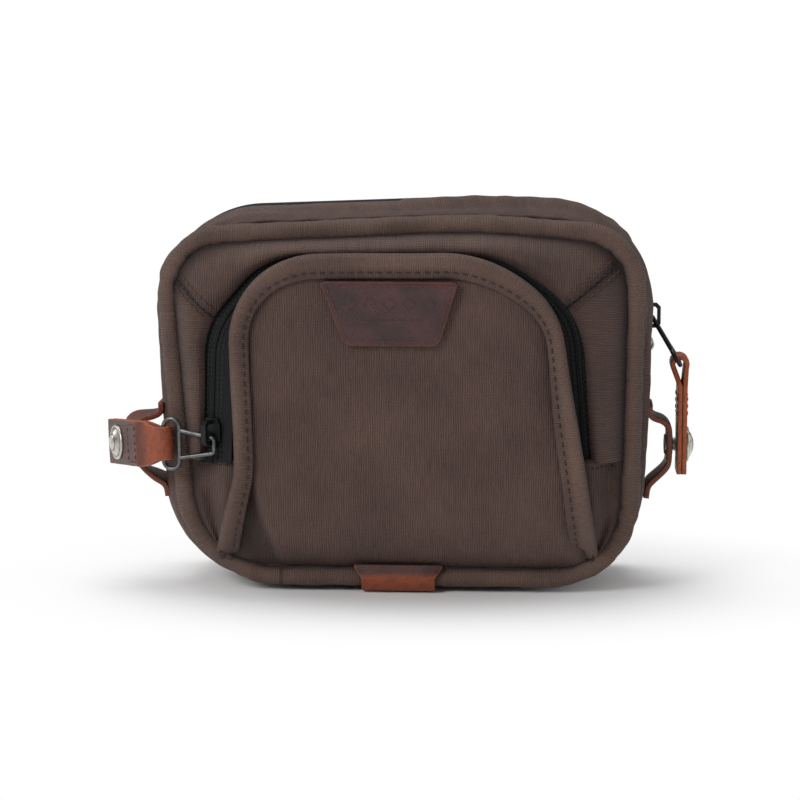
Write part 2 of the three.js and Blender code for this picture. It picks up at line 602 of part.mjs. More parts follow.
// Plain canvas fills the sides of the pocket below the ends of its zip.
function pocketEnd(side, label) {
  const { rootY, faceY, zipEndZ, bottomZ } = POCKET;
  const beside = offsetPath(pocketWeltLine, 1, false);
  const ends = [[side, bottomZ + 7], [side, zipEndZ - GAP]];
  const [from, to] = side < 0 ? ends : ends.reverse();
  const outer = raised(stretch(insidePiping, from, to, 8), () => rootY);
  const inner = raised(stretch(beside, from, to, 8), (z) => faceY + 3 + drawnIn(z));
  return mesh(`pocket_end_${label}`, sheet(outer, inner, CANVAS), canvas);
}

// A ribbon beside the pocket's zip line, tilted like the tape: from and to run across it,
// depth runs through it, both from the middle of the zip.
function tilted(from, to, depthFrom, depthTo) {
  const { tilt, zipY } = POCKET;
  return [[from, depthFrom], [to, depthFrom], [to, depthTo], [from, depthTo]].map(([a, d]) =>
    [a * Math.cos(tilt) - d * Math.sin(tilt), zipY + a * Math.sin(tilt) + d * Math.cos(tilt)]);
}

function pocketZipHalf(sign, label, reach, tapeEnd, coilEnd) {
  const tape = tilted(sign * TAPE.halfGap, sign * reach, -TAPE.thickness / 2, TAPE.thickness / 2);
  const under = TAPE.thickness / 2 + COIL.below;
  const coil = tilted(sign * TAPE.halfGap, sign * (TAPE.halfGap + COIL.width), under, under + COIL.thickness);
  const along = (end, gap) => stretch(pocketZipLine, [-1, end], [1, POCKET.zipEndZ + gap], 28);
  return [
    mesh(`pocket_${label}_tape`, sweep(along(tapeEnd, 0.5), tape), zipTape),
    mesh(`pocket_${label}_coil`, sweep(along(coilEnd, 5), coil), zipCoil),
  ];
}

function pocketZipStop(side, label) {
  const { tilt, zipY, zipEndZ } = POCKET;
  const [thick, behind] = [1.7, 1.7];
  const spot = heightSpot(pocketZipLine, zipEndZ + 2, side);
  return mesh(`pocket_zip_stop_${label}`, box(5, thick, 2.2).rotateZ(side * tilt)
    .translate(spot.x - side * behind * Math.sin(tilt), zipY + behind * Math.cos(tilt), spot.y), darkMetal);
}

// The face panel: its edge lies under the welt, and follows the piping below the welt's ends.
function pocketFace() {
  const { faceY, bottomZ } = POCKET;
  const edge = offsetPath(pocketWeltLine, -1.6, false);
  const topZ = Math.max(...edge.map((p) => p.y)) - 0.05;
  const rows = 16;
  const side = (sign) => Array.from({ length: rows }, (_, i) => {
    const z = topZ - (topZ - bottomZ) * (1 - i / (rows - 1)) ** 1.7;
    const x = z > edge[0].y + 0.1 ? heightSpot(edge, z, sign).x : heightSpot(insidePiping, z, sign).x - sign;
    return new THREE.Vector3(x, faceY + drawnIn(z), z);
  });
  return mesh('pocket_face', sheet(side(-1), side(1), CANVAS), canvas);
}

function pocketFlap() {
  const { faceY } = POCKET;
  const weltSection = [[-9, faceY - 0.4], [-9, faceY - 1.5], [-6, faceY - 3], [-1.5, faceY - 2.8],
    [0.4, faceY - 1], [0.4, faceY + 1.6], [-0.7, faceY + 1.6], [-0.7, faceY - 0.4]];
  const badge = roundedPath([[-21.5, 104, 4], [-31.5, 130.6, 1], [25.5, 130.6, 1], [17.5, 104, 4]], true);
  const aboveSlider = POCKET_SLIDER_Z + SLIDER.length / 2 + 1;
  return [
    pocketFace(),
    mesh('pocket_welt', sweep(pocketWeltLine, weltSection, false, drawnIn), canvas),
    mesh('badge_patch', plate(badge, faceY - 2, faceY - 0.4), leather),
    ...pocketZipHalf(-1, 'inner', 7, aboveSlider, aboveSlider),
  ];
}

// ---------------------------------------------------------------- the bag
const bag = new THREE.Group();
const { rear, front, bottom } = gussets();
const main = mainPull();
const pocket = pocketPull();
const outerEnd = POCKET.zipEndZ + 0.5;

bag.add(rear, bottom, ...backPanel(), ...mainZipHalf(1, 'rear'), mainZipStop(-1, 'left'), mainZipStop(1, 'right'));
bag.add(backLoop(-1, 'left'), backLoop(1, 'right'), bottomTab());
bag.add(sideLoop(-1, 'left', studFor(pocket.flap)), sideLoop(1, 'right', studFor(main.flap)));
bag.add(front, ...frontPanel(), ...mainZipHalf(-1, 'front'), ...pocketGussets());
bag.add(pocketEnd(-1, 'left'), pocketEnd(1, 'right'), ...pocketZipHalf(1, 'outer', 5.3, outerEnd, outerEnd + 4.5));
bag.add(pocketZipStop(-1, 'start'), pocketZipStop(1, 'end'), ...pocketFlap());
bag.add(main.slide, main.hang, main.flap, pocket.slide, pocket.hang, pocket.flap);

// The bag stands on the underside of its bottom tab.
bag.position.z = LEATHER + GAP;

export default bag;
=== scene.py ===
"""A small waxed-canvas motorcycle bag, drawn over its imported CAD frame.

Lengths are in millimetres in the row frame (+X right, +Y back, +Z up) until a mesh is made.
A path is a line in the XZ plane that runs clockwise as seen from the front, so that its left-hand
side faces outwards. UVs are in millimetres: fabric ribs lie across the U direction.
"""
import json
import math

import bmesh
import bpy
import numpy as np
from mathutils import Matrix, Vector, noise
from mathutils.bvhtree import BVHTree


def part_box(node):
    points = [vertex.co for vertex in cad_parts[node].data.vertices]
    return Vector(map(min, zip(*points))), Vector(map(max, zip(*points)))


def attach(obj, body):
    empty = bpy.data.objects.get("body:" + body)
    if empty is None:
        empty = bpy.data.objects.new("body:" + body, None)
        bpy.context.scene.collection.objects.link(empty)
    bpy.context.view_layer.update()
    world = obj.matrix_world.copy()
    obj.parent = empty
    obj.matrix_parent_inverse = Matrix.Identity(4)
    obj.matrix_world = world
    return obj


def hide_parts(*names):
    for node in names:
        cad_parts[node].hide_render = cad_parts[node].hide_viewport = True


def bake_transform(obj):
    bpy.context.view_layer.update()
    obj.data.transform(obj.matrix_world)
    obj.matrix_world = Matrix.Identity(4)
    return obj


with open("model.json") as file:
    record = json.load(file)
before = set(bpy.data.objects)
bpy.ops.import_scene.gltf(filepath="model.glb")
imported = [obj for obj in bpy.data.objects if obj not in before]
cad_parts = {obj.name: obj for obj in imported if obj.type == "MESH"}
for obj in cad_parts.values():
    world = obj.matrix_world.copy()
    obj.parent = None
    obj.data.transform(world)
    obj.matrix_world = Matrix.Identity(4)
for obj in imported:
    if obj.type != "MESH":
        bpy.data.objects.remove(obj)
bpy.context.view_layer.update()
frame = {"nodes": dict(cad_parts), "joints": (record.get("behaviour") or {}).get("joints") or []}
METRE = 0.001
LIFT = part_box("bottom_gusset")[0][2] / METRE      # the canvas body starts this far above the ground

# ------------------------------------------------------------------ the bag's outlines
# Corners as (x, z, corner radius), close to those of the CAD model.
FRONT_OUTLINE = [(-90.5, 0, 44), (-103, 150.5, 28), (30, 157, 260), (102.6, 152, 27), (99.8, 0, 38)]
GIRTH_OUTLINE = [(-96.5, 0, 45), (-104.5, 157.5, 44), (28, 162.5, 300), (105.4, 160.5, 44), (103, 0, 42)]
GUSSET_EDGE = [(-80.6, 50, 0), (-80.2, 111, 34), (-54.5, 140.1, 34), (42.5, 140.8, 46), (76, 117, 38),
               (80.6, 50, 0)]
ZIP_LINE = [(-77, 50, 0), (-75, 109, 32), (-50, 138.6, 38), (42, 139.4, 46), (72, 116, 30), (77.2, 50, 0)]
WELT_LINE = [(-77.5, 8, 0), (-66.3, 50, 40), (-68.4, 116, 34), (-50, 140.5, 36), (38.5, 141.4, 55),
             (65.6, 118.5, 38), (84, 8, 0)]
BADGE_OUTLINE = [(-21.5, 104, 5), (-31.5, 130.6, 1.5), (25.5, 130.6, 1.5), (17.5, 104, 5)]
BADGE_MIDDLE = (-2.5, 117.5)
BODY_MIDDLE = (0, 0, 80)

CANVAS = 1.2                                      # thicknesses
TAPE = 0.6
LINING = 0.4
BOARD = 1.2
PIPING_RADIUS = 4.1
PIPING_Y = 29
PIPING_INSET = 6.4                                # from the outline to the cloth sewn inside the piping
ZIP_END_Z = 100
ZIP_LEVEL = -1.2                                  # the main tapes, from the girth outline
POCKET_END_Z = 56
POCKET_FACE_Y = -44.6
POCKET_BOTTOM_Z = 7.5
DRAWN_BELOW_Z = 36                                # the pocket's front is drawn in below this height
POCKET_ZIP_Y = -38.8
POCKET_ZIP_TILT = math.radians(30)
SLIDER_Z = 66.5
SEAMS = {"left": (130.5, 114.5), "right": (138.5, 119.5)}     # seam heights at the piping and at the zip
FORWARD = np.array([0.0, -1.0, 0.0])


# ------------------------------------------------------------------ small maths helpers
def smooth(low, high, value):
    """0 below low, 1 above high, smooth between. Works on arrays, and falls where low is above high."""
    t = np.clip((np.asarray(value, float) - low) / (high - low), 0, 1)
    return t * t * (3 - 2 * t)


def ripple(x, y=0.0, z=0.0, size=1.0, seed=0.0):
    """Smooth noise between about -1 and 1 whose features are about `size` millimetres across."""
    return noise.noise(Vector((x / size + seed, y / size + 3.7 * seed, z / size - 1.3 * seed)))


ripples = np.vectorize(ripple)


def unit(v):
    return v / np.maximum(np.linalg.norm(v, axis=-1, keepdims=True), 1e-9)


def world_metres(x, y, z):
    """A place in the row frame, in mm, as metres in the world."""
    return x * METRE, y * METRE, (z + LIFT) * METRE


def row_millimetres(place):
    """A place in the world, in metres, as millimetres in the row frame."""
    x, y, z = np.asarray(place, float) / METRE
    return np.array([x, y, z - LIFT])


def at_depth(flat, y):
    """Points (x, z) as (x, y, z)."""
    return np.stack([flat[:, 0], np.full(len(flat), y), flat[:, 1]], axis=1)


def closed_up(points):
    return np.vstack([points, points[:1]])


def lengths(points, axis):
    """Distances along an axis of an array of points, from its start."""
    steps = np.linalg.norm(np.diff(points, axis=axis), axis=-1)
    zero = np.zeros_like(np.take(steps, [0], axis=axis))
    return np.concatenate([zero, np.cumsum(steps, axis=axis)], axis=axis)


def resampled(points, spacing, closed=False):
    """The same line with its points evenly spaced."""
    ring = closed_up(points) if closed else points
    along = lengths(ring, 0)
    count = max(3, int(round(along[-1] / spacing)) + (0 if closed else 1))
    at = np.linspace(0, along[-1], count, endpoint=not closed)
    return np.stack([np.interp(at, along, ring[:, k]) for k in range(ring.shape[1])], axis=1)


def smooth_line(points, spacing, rounds=3):
    """Chaikin corner cutting, then even spacing; the end points stay."""
    p = np.asarray(points, float)
    for _ in range(rounds):
        early = p[:-1] * 0.75 + p[1:] * 0.25
        late = p[:-1] * 0.25 + p[1:] * 0.75
        p = np.vstack([p[:1], np.stack([early, late], axis=1).reshape(-1, p.shape[1]), p[-1:]])
    return resampled(p, spacing)


def directions(points, closed=False):
    """Unit directions along a line."""
    p = np.asarray(points, float)
    if closed:
        return unit(np.roll(p, -1, axis=0) - np.roll(p, 1, axis=0))
    return unit(np.vstack([p[1:], p[-1:]]) - np.vstack([p[:1], p[:-1]]))


class Path:
    """A line in the XZ plane with its lengths and outward directions."""

    def __init__(self, points, closed):
        self.points = np.asarray(points, float)
        self.closed = closed
        self.ring = closed_up(self.points) if closed else self.points
        self.at = lengths(self.ring, 0)
        self.length = self.at[-1]
        along = directions(self.points, closed)
        self.out = np.stack([-along[:, 1], along[:, 0]], axis=1)

    @classmethod
    def rounded(cls, corners, closed, spacing=1.5):
        """A path through corners (x, z, radius), each rounded to its radius; radius 0 marks an end."""
        points = []
        for i, (x, z, radius) in enumerate(corners):
            corner = np.array([x, z], float)
            if not radius:
                points.append(corner)
                continue
            before = unit(np.array(corners[i - 1][:2]) - corner)
            after = unit(np.array(corners[(i + 1) % len(corners)][:2]) - corner)
            half = math.acos(float(before @ after)) / 2
            centre = corner + unit(before + after) * radius / math.sin(half)
            reach = radius / math.tan(half)
            first = corner + before * reach - centre
            last = corner + after * reach - centre
            start = math.atan2(first[1], first[0])
            turn = (math.atan2(last[1], last[0]) - start + math.pi) % (2 * math.pi) - math.pi
            steps = max(4, int(abs(turn) * radius))
            angles = start + turn * np.arange(steps + 1) / steps
            points += list(centre + radius * np.stack([np.cos(angles), np.sin(angles)], axis=1))
        return cls(resampled(np.array(points), spacing, closed), closed)

    def sampled(self, values, s):
        values = closed_up(values) if self.closed else values
        return np.stack([np.interp(s, self.at, values[:, k]) for k in range(2)], axis=1)

    def place(self, distance):
        """(points, outward directions) at distances along the path."""
        s = np.asarray(distance, float)
        if self.closed:
            s = s % self.length
        return self.sampled(self.points, s), unit(self.sampled(self.out, s))

    def height(self, z, side):
        """The distance along the path of its outermost crossing of a height, on a side."""
        crossings = []
        for i, ((xa, za), (xb, zb)) in enumerate(zip(self.ring[:-1], self.ring[1:])):
            if (za - z) * (zb - z) <= 0 and za != zb:
                share = (z - za) / (zb - za)
                distance = self.at[i] + share * (self.at[i + 1] - self.at[i])
                crossings.append((side * (xa + share * (xb - xa)), distance))
        return max(crossings)[1]

    def x_at(self, z, side):
        """Where the path crosses a height, on a side."""
        return float(self.place([self.height(z, side)])[0][0, 0])

    def part(self, start, end, spacing=1.5, offset=0.0):
        """An open path between two distances, moved outwards by offset."""
        if self.closed and end < start:
            end += self.length
        s = np.linspace(start, end, max(3, int((end - start) / spacing)))
        points, out = self.place(s)
        return Path(points + out * offset, False)

    def between(self, z_start, side_start, z_end, side_end, spacing=1.5, offset=0.0):
        """The part between two heights, each on a side: -1 left, 1 right."""
        return self.part(self.height(z_start, side_start), self.height(z_end, side_end), spacing, offset)

    def over(self, z_left, z_right, spacing=1.5):
        """The part over the top, from a height on the left to a height on the right."""
        return self.between(z_left, -1, z_right, 1, spacing)


FRONT = Path.rounded(FRONT_OUTLINE, True)
GIRTH = Path.rounded(GIRTH_OUTLINE, True)
GUSSET = Path.rounded(GUSSET_EDGE, False)
ZIP = Path.rounded(ZIP_LINE, False)
WELT = Path.rounded(WELT_LINE, False)
INSIDE_PIPING = Path(FRONT.points - FRONT.out * PIPING_INSET, True)


def drawn_in(z):
    """How far the pocket's front is drawn back towards the piping at a height."""
    return 10.4 * (1 - smooth(6, DRAWN_BELOW_Z, z)) + 4.6 * (1 - smooth(7, 15, z))


# ------------------------------------------------------------------ meshes
def make_mesh(name, verts, faces, material, body, uv=None, tones=None, node=None, slot=None):
    """A piece from arrays: verts in mm, uv one per vertex in mm, tones {attribute: one value per vertex}.

    It rides a body unless body is None, and stands in for a CAD node if one is named. slot is not used.
    """
    world = np.asarray(verts, float).reshape(-1, 3) + [0, 0, LIFT]
    mesh = bpy.data.meshes.new(name)
    mesh.from_pydata((world * METRE).tolist(), [], [list(f) for f in faces])
    if uv is not None:
        layer = mesh.uv_layers.new(name="UVMap")
        loops = np.empty(len(mesh.loops), dtype=np.int32)
        mesh.loops.foreach_get("vertex_index", loops)
        layer.data.foreach_set("uv", np.asarray(uv, float).reshape(-1, 2)[loops].ravel())
    for key, values in (tones or {}).items():
        attribute = mesh.attributes.new(key, "FLOAT", "POINT")
        attribute.data.foreach_set("value", np.asarray(values, float).ravel())
    mesh.polygons.foreach_set("use_smooth", [True] * len(mesh.polygons))
    mesh.update()
    obj = bpy.data.objects.new(name, mesh)
    bpy.context.scene.collection.objects.link(obj)
    obj.data.materials.append(MATERIALS[material])
    if body:
        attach(obj, body)
    if node:
        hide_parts(node)
    return obj


def quads(rows, cols, close_rows=False, close_cols=False):
    """Faces of a grid of vertices, row by row."""
    i = np.arange(rows if close_rows else rows - 1)
    j = np.arange(cols if close_cols else cols - 1)
    ii, jj = np.meshgrid(i, j, indexing="ij")
    up, right = (ii + 1) % rows, (jj + 1) % cols
    corners = [ii * cols + jj, ii * cols + right, up * cols + right, up * cols + jj]
    return np.stack(corners, axis=-1).reshape(-1, 4)


def end_faces(rings, corners, base=0):
    """The two faces that close a stack of rings."""
    first = [base + k for k in range(corners)]
    last = [base + (rings - 1) * corners + k for k in range(corners)]
    return [first, last[::-1]]


def face_out(obj):
    """Turns the faces of a closed mesh outwards."""
    bm = bmesh.new()
    bm.from_mesh(obj.data)
    bmesh.ops.recalc_face_normals(bm, faces=bm.faces)
    bm.to_mesh(obj.data)
    bm.free()
    return obj


def face_away(obj, middle):
    """Flips a sheet so that its faces look away from a point, in mm."""
    centre = Vector(world_metres(*middle))
    if sum((p.center - centre).dot(p.normal) * p.area for p in obj.data.polygons) < 0:
        obj.data.flip_normals()
    return obj


def swept(name, rings, material, body, closed=False, **more):
    """A closed skin over rings of section points, array (ring, corner, 3); open ends are capped."""
    rings = np.asarray(rings, float)
    n, m = rings.shape[:2]
    along = lengths(rings.mean(axis=1), 0)
    around = lengths(np.concatenate([rings, rings[:, :1]], axis=1), 1)[:, :-1]
    uv = np.stack([np.repeat(along[:, None], m, axis=1), around], axis=-1)
    faces = quads(n, m, close_rows=closed, close_cols=True).tolist()
    if not closed:
        faces += end_faces(n, m)
    return face_out(make_mesh(name, rings, faces, material, body, uv, **more))


def sheet(name, grid, material, body, uv=None, **more):
    """A fabric sheet over a grid of points (row, column, 3), without thickness yet."""
    grid = np.asarray(grid, float)
    if uv is None:
        uv = np.stack([lengths(grid, 0), lengths(grid, 1)], axis=-1)
    return make_mesh(name, grid, quads(*grid.shape[:2]), material, body, uv, **more)


def front_sheet(name, grid, *rest, **more):
    """A sheet whose faces look forward."""
    obj = sheet(name, grid, *rest, **more)
    rows, cols = np.shape(grid)[:2]
    if obj.data.polygons[(rows // 2) * (cols - 1) + cols // 2].normal.y > 0:
        obj.data.flip_normals()
    return obj


def apply_modifiers(obj):
    deps = bpy.context.evaluated_depsgraph_get()
    made = bpy.data.meshes.new_from_object(obj.evaluated_get(deps), preserve_all_data_layers=True,
                                           depsgraph=deps)
    obj.modifiers.clear()
    old, obj.data = obj.data, made
    bpy.data.meshes.remove(old)
    return obj


def thicken(obj, thickness):
    """Gives a sheet its thickness, away from its outer side."""
    solid = obj.modifiers.new("thickness", "SOLIDIFY")
    solid.thickness = thickness * METRE
    solid.offset = -1
    solid.use_even_offset = False
    return apply_modifiers(obj)


def vertices_of(obj):
    flat = np.empty(len(obj.data.vertices) * 3)
    obj.data.vertices.foreach_get("co", flat)
    return flat.reshape(-1, 3)


def put_vertices(obj, points):
    obj.data.vertices.foreach_set("co", np.asarray(points).ravel())
    obj.data.update()


def laid_on(points, normals, objects):
    """Moves the points of a line along their normals until they lie on the outside of some pieces."""
    reach = 12
    trees = [BVHTree.FromPolygons([v.co for v in o.data.vertices], [p.vertices for p in o.data.polygons])
             for o in objects]
    points = np.asarray(points, float)
    normals = unit(np.broadcast_to(normals, points.shape))
    heights = []
    for p, n in zip(points, normals):
        start = Vector(world_metres(*(p + n * reach)))
        hits = [tree.ray_cast(start, Vector(-n), 0.03)[3] for tree in trees]
        hits = [h for h in hits if h is not None]
        heights.append(reach - min(hits) / METRE if hits else math.nan)
    # A point past the pieces' edge takes the height of its nearest neighbour that was laid.
    heights = np.array(heights)
    found = np.flatnonzero(~np.isnan(heights))
    heights = np.interp(np.arange(len(heights)), found, heights[found])
    return points + normals * heights[:, None]


def stitches(name, line, normals, body, material="canvas_thread", slot="canvas", length=2.6, gap=1.0,
             radius=0.32, sink=0.17):
    """A row of thread capsules along a 3-D line; each dips into the fabric at its ends."""
    line = np.asarray(line, float)
    normals = np.broadcast_to(normals, line.shape)
    at = lengths(line, 0)
    sides, rings = 6, 7
    share = np.linspace(-1, 1, rings)
    rise = (1 - share ** 4) * radius - sink
    girth = radius * np.sqrt(np.maximum(1 - np.abs(share) ** 5, 0.04))
    angles = 2 * math.pi * np.arange(sides) / sides
    verts, faces = [], []
    for k in range(int(at[-1] // (length + gap))):
        s = k * (length + gap) + gap / 2 + np.linspace(0, length, rings)
        p = np.stack([np.interp(s, at, line[:, c]) for c in range(3)], axis=1)
        up = unit(np.stack([np.interp(s, at, normals[:, c]) for c in range(3)], axis=1))
        side = unit(np.cross(up, unit(p[-1:] - p[:1])))
        base = len(verts)
        for r in range(rings):
            for a in angles:
                lift = rise[r] + girth[r] * math.sin(a)
                verts.append(p[r] + up[r] * lift + side[r] * girth[r] * math.cos(a))
        faces += (quads(rings, sides, close_cols=True) + base).tolist()
        faces += end_faces(rings, sides, base)
    return make_mesh(name, verts, faces, material, body, slot=slot)


def turned(name, profile, centre, axis, body, sides=48, tones=None, node=None):
    """A turned nickel piece: profile is [(radius, height along axis)], starting and ending near the axis."""
    axis = unit(np.asarray(axis, float))
    side = unit(np.cross(axis, [0.0, 0.0, 1.0]))
    up = np.cross(side, axis)
    a = np.linspace(0, 2 * math.pi, sides, endpoint=False)
    around = np.cos(a)[:, None] * side + np.sin(a)[:, None] * up
    rows = [centre + axis * h + r * around for r, h in profile]
    faces = quads(len(rows), sides, close_cols=True).tolist() + end_faces(len(rows), sides)
    values = None if tones is None else {"recess": np.repeat(tones, sides)}
    return face_out(make_mesh(name, rows, faces, "nickel", body, tones=values, node=node))


# ------------------------------------------------------------------ materials
MATERIALS = {}


class Nodes:
    """A short way to write a material's node tree."""

    def __init__(self, name):
        self.material = bpy.data.materials.new(name)
        self.material.use_nodes = True
        self.tree = self.material.node_tree
        self.shader = self.tree.nodes["Principled BSDF"]
        MATERIALS[name] = self.material

    def node(self, kind):
        return self.tree.nodes.new(kind)

    def link(self, value, socket):
        if isinstance(value, bpy.types.NodeSocket):
            self.tree.links.new(value, socket)
        else:
            socket.default_value = value

    def math(self, operation, a, b=0.0, clamp=False):
        made = self.node("ShaderNodeMath")
        made.operation = operation
        made.use_clamp = clamp
        self.link(a, made.inputs[0])
        self.link(b, made.inputs[1])
        return made.outputs[0]

    def add(self, *terms, clamp=False):
        total = terms[0]
        for term in terms[1:]:
            total = self.math("ADD", total, term, clamp)
        return total

    def times(self, a, b):
        return self.math("MULTIPLY", a, b)

    def minus(self, a, b):
        return self.math("SUBTRACT", a, b)

    def size(self, a):
        return self.math("ABSOLUTE", a)

    def under(self, a, limit):
        return self.math("LESS_THAN", a, limit)

    def mix(self, share, a, b):
        made = self.node("ShaderNodeMix")
        made.data_type = "RGBA"
        self.link(share, made.inputs["Factor"])
        self.link(a, made.inputs["A"])
        self.link(b, made.inputs["B"])
        return made.outputs["Result"]

    def noise(self, vector, scale, detail=3.0, roughness=0.5):
        made = self.node("ShaderNodeTexNoise")
        self.link(vector, made.inputs["Vector"])
        made.inputs["Scale"].default_value = scale
        made.inputs["Detail"].default_value = detail
        made.inputs["Roughness"].default_value = roughness
        return made.outputs["Fac"]

    def levels(self, value, low, high, kind="LINEAR"):
        made = self.node("ShaderNodeMapRange")
        made.interpolation_type = kind
        self.link(value, made.inputs["Value"])
        made.inputs["From Min"].default_value = low
        made.inputs["From Max"].default_value = high
        return made.outputs["Result"]

    def tone(self, name):
        """One of the pieces' own attributes: wear, shade (painted shade), bend, edge or recess."""
        made = self.node("ShaderNodeAttribute")
        made.attribute_name = name
        return made.outputs["Fac"]

    def parts(self, vector):
        made = self.node("ShaderNodeSeparateXYZ")
        self.link(vector, made.inputs[0])
        return made.outputs["X"], made.outputs["Y"]

    def uv(self):
        return self.parts(self.node("ShaderNodeUVMap").outputs["UV"])

    def place(self):
        """Object position, in millimetres."""
        made = self.node("ShaderNodeVectorMath")
        made.operation = "SCALE"
        self.link(self.node("ShaderNodeTexCoord").outputs["Object"], made.inputs[0])
        made.inputs["Scale"].default_value = 1 / METRE
        return made.outputs[0]

    def wave(self, value, pitch):
        """A sine from 0 to 1 along a value in millimetres."""
        return self.add(self.times(self.math("SINE", self.times(value, 2 * math.pi / pitch)), 0.5), 0.5)

    def bump(self, height, depth_mm):
        made = self.node("ShaderNodeBump")
        made.inputs["Strength"].default_value = 1
        made.inputs["Distance"].default_value = depth_mm * METRE
        self.link(height, made.inputs["Height"])
        self.link(made.outputs["Normal"], self.shader.inputs["Normal"])

    def finish(self, color, roughness, **more):
        self.link(color, self.shader.inputs["Base Color"])
        self.link(roughness, self.shader.inputs["Roughness"])
        for key, value in more.items():
            self.link(value, self.shader.inputs[key.replace("_", " ")])


def srgb(color, share=1.0):
    """A material colour from 0-255 screen values, scaled by a share."""
    values = np.array(color, float) * share / 255
    linear = np.where(values <= 0.04045, values / 12.92, ((values + 0.055) / 1.055) ** 2.4)
    return (*linear.tolist(), 1.0)


def canvas_material(name, dark, light, worn):
    """Ribbed waxed canvas: ribs across U, a finer thread across V, waxy patches, rubbed edges and painted
    shade.
    """
    n = Nodes(name)
    u, v = n.uv()
    spot = n.place()
    drift = n.times(n.noise(spot, 0.12, 2), 1.6)
    rib = n.wave(n.add(u, drift), 0.98)
    thread = n.wave(n.add(v, drift), 0.6)
    stretched = n.node("ShaderNodeCombineXYZ")
    n.link(n.times(u, 1.1), stretched.inputs["X"])
    n.link(n.times(v, 0.12), stretched.inputs["Y"])
    slub = n.noise(stretched.outputs[0], 1.0, 2)
    speckle = n.noise(spot, 2.6, 3, 0.8)
    patches = n.noise(spot, 0.028, 4, 0.6)
    height = n.add(n.times(rib, 0.6), n.times(thread, 0.4))
    tint = n.add(n.times(patches, 0.62), n.times(speckle, 0.62), n.times(n.add(slub, -0.5), 0.36),
                 n.times(n.add(height, -0.5), 0.42))
    color = n.mix(n.levels(tint, 0.37, 0.94), srgb(dark), srgb(light))
    scuffs = n.levels(n.noise(spot, 0.35, 6, 0.75), 0.66, 0.82)
    rubbed = n.times(n.tone("wear"), n.levels(speckle, 0.3, 0.65))
    color = n.mix(n.add(rubbed, n.times(scuffs, 0.35), clamp=True), color, srgb(worn))
    # Painted shade: each piece's shade attribute darkens the colour in its grooves, fold valleys and
    # turned-away parts.
    color = n.mix(n.times(n.tone("shade"), 0.85), color, srgb(dark, 0.33))
    n.bump(n.add(height, n.times(speckle, 0.8)), 0.32)
    rough = n.add(n.times(patches, 0.25), 0.6)
    n.finish(color, rough, Sheen_Weight=0.06, Sheen_Roughness=0.45, Specular_IOR_Level=0.35)


def leather_material(name, face, bent, edge, deep, emblem=False):
    """Oiled pull-up leather: dark where flat, orange where `bend` is high, brighter on cut edges."""
    n = Nodes(name)
    spot = n.place()
    cloud = n.noise(spot, 0.09, 5, 0.62)
    grain = n.noise(spot, 1.3, 5, 0.65)
    streak = n.noise(spot, 0.45, 6, 0.72)
    color = n.mix(n.levels(cloud, 0.3, 0.7), srgb(deep), srgb(face))
    stretched = n.math("MULTIPLY", n.tone("bend"), n.levels(streak, 0.18, 0.55), clamp=True)
    color = n.mix(stretched, color, srgb(bent))
    cut = n.math("MULTIPLY", n.tone("edge"), n.levels(grain, 0.2, 0.55), clamp=True)
    color = n.mix(cut, color, srgb(edge))
    color = n.mix(n.times(n.levels(streak, 0.64, 0.75), 0.5), color, srgb(bent))
    cells = n.node("ShaderNodeTexVoronoi")
    n.link(spot, cells.inputs["Vector"])
    cells.inputs["Scale"].default_value = 1.1
    height = n.add(n.times(grain, 0.7), n.times(cells.outputs["Distance"], 0.35))
    if emblem:
        pressed = lozenges(n)
        color = n.mix(n.times(pressed, 0.5), color, srgb(deep, 0.6))
        color = n.mix(n.times(pressed, n.levels(streak, 0.56, 0.66)), color, srgb(bent))
        height = n.minus(height, n.times(pressed, 1.4))
    n.bump(height, 0.34)
    n.finish(color, n.add(n.times(grain, 0.34), 0.28), Specular_IOR_Level=0.5)


def lozenges(n):
    """A plain pressed ornament for the badge: a row of lozenges over a thin rule. UVs are (x, z)."""
    pitch, reach, line = 8, 2.7, 0.45
    u, v = n.uv()
    u, v = n.minus(u, BADGE_MIDDLE[0]), n.minus(v, BADGE_MIDDLE[1])
    cell = n.minus(n.math("FRACT", n.add(n.times(u, 1 / pitch), 0.5)), 0.5)
    from_centre = n.add(n.times(n.size(cell), pitch), n.size(n.minus(v, 4)))
    outline = n.under(n.size(n.minus(from_centre, reach)), line)
    row = n.times(outline, n.under(n.size(u), 20))
    rule = n.times(n.under(n.size(n.add(v, 2.5)), 0.28), n.under(n.size(u), 14))
    return n.math("MAXIMUM", row, rule)


def zip_tape_material():
    """Black woven zip tape: a herringbone of fine threads."""
    n = Nodes("zip_tape")
    u, v = n.uv()
    slant = n.size(n.minus(n.math("FRACT", n.times(v, 0.42)), 0.5))
    weave = n.wave(n.add(u, n.times(slant, 2.2)), 0.85)
    height = n.add(n.times(weave, 0.6), n.times(n.wave(v, 1.15), 0.4))
    n.bump(height, 0.45)
    n.finish(n.mix(height, srgb((8, 9, 10)), srgb((42, 44, 45))), 0.78, Specular_IOR_Level=0.25)


def plain_fabric_material(name, dark, light):
    n = Nodes(name)
    u, v = n.uv()
    weave = n.times(n.wave(u, 0.5), n.wave(v, 0.5))
    tint = n.add(n.times(weave, 0.5), n.times(n.noise(n.place(), 0.1), 0.4))
    n.bump(weave, 0.15)
    n.finish(n.mix(tint, srgb(dark), srgb(light)), 0.8)


def metal_material(name, bright, dull, roughness, patina, metallic=1.0):
    """Metal with tarnish in soft patches and fine brushing."""
    n = Nodes(name)
    spot = n.place()
    cloud = n.noise(spot, 0.35, 5, 0.7)
    fine = n.noise(spot, 3.0, 3, 0.6)
    tarnish = n.add(n.times(n.levels(cloud, 0.42, 0.75), patina), n.tone("recess"), clamp=True)
    n.bump(fine, 0.03)
    n.finish(n.mix(tarnish, srgb(bright), srgb(dull)), n.add(n.times(fine, 0.18), roughness),
             Metallic=metallic)


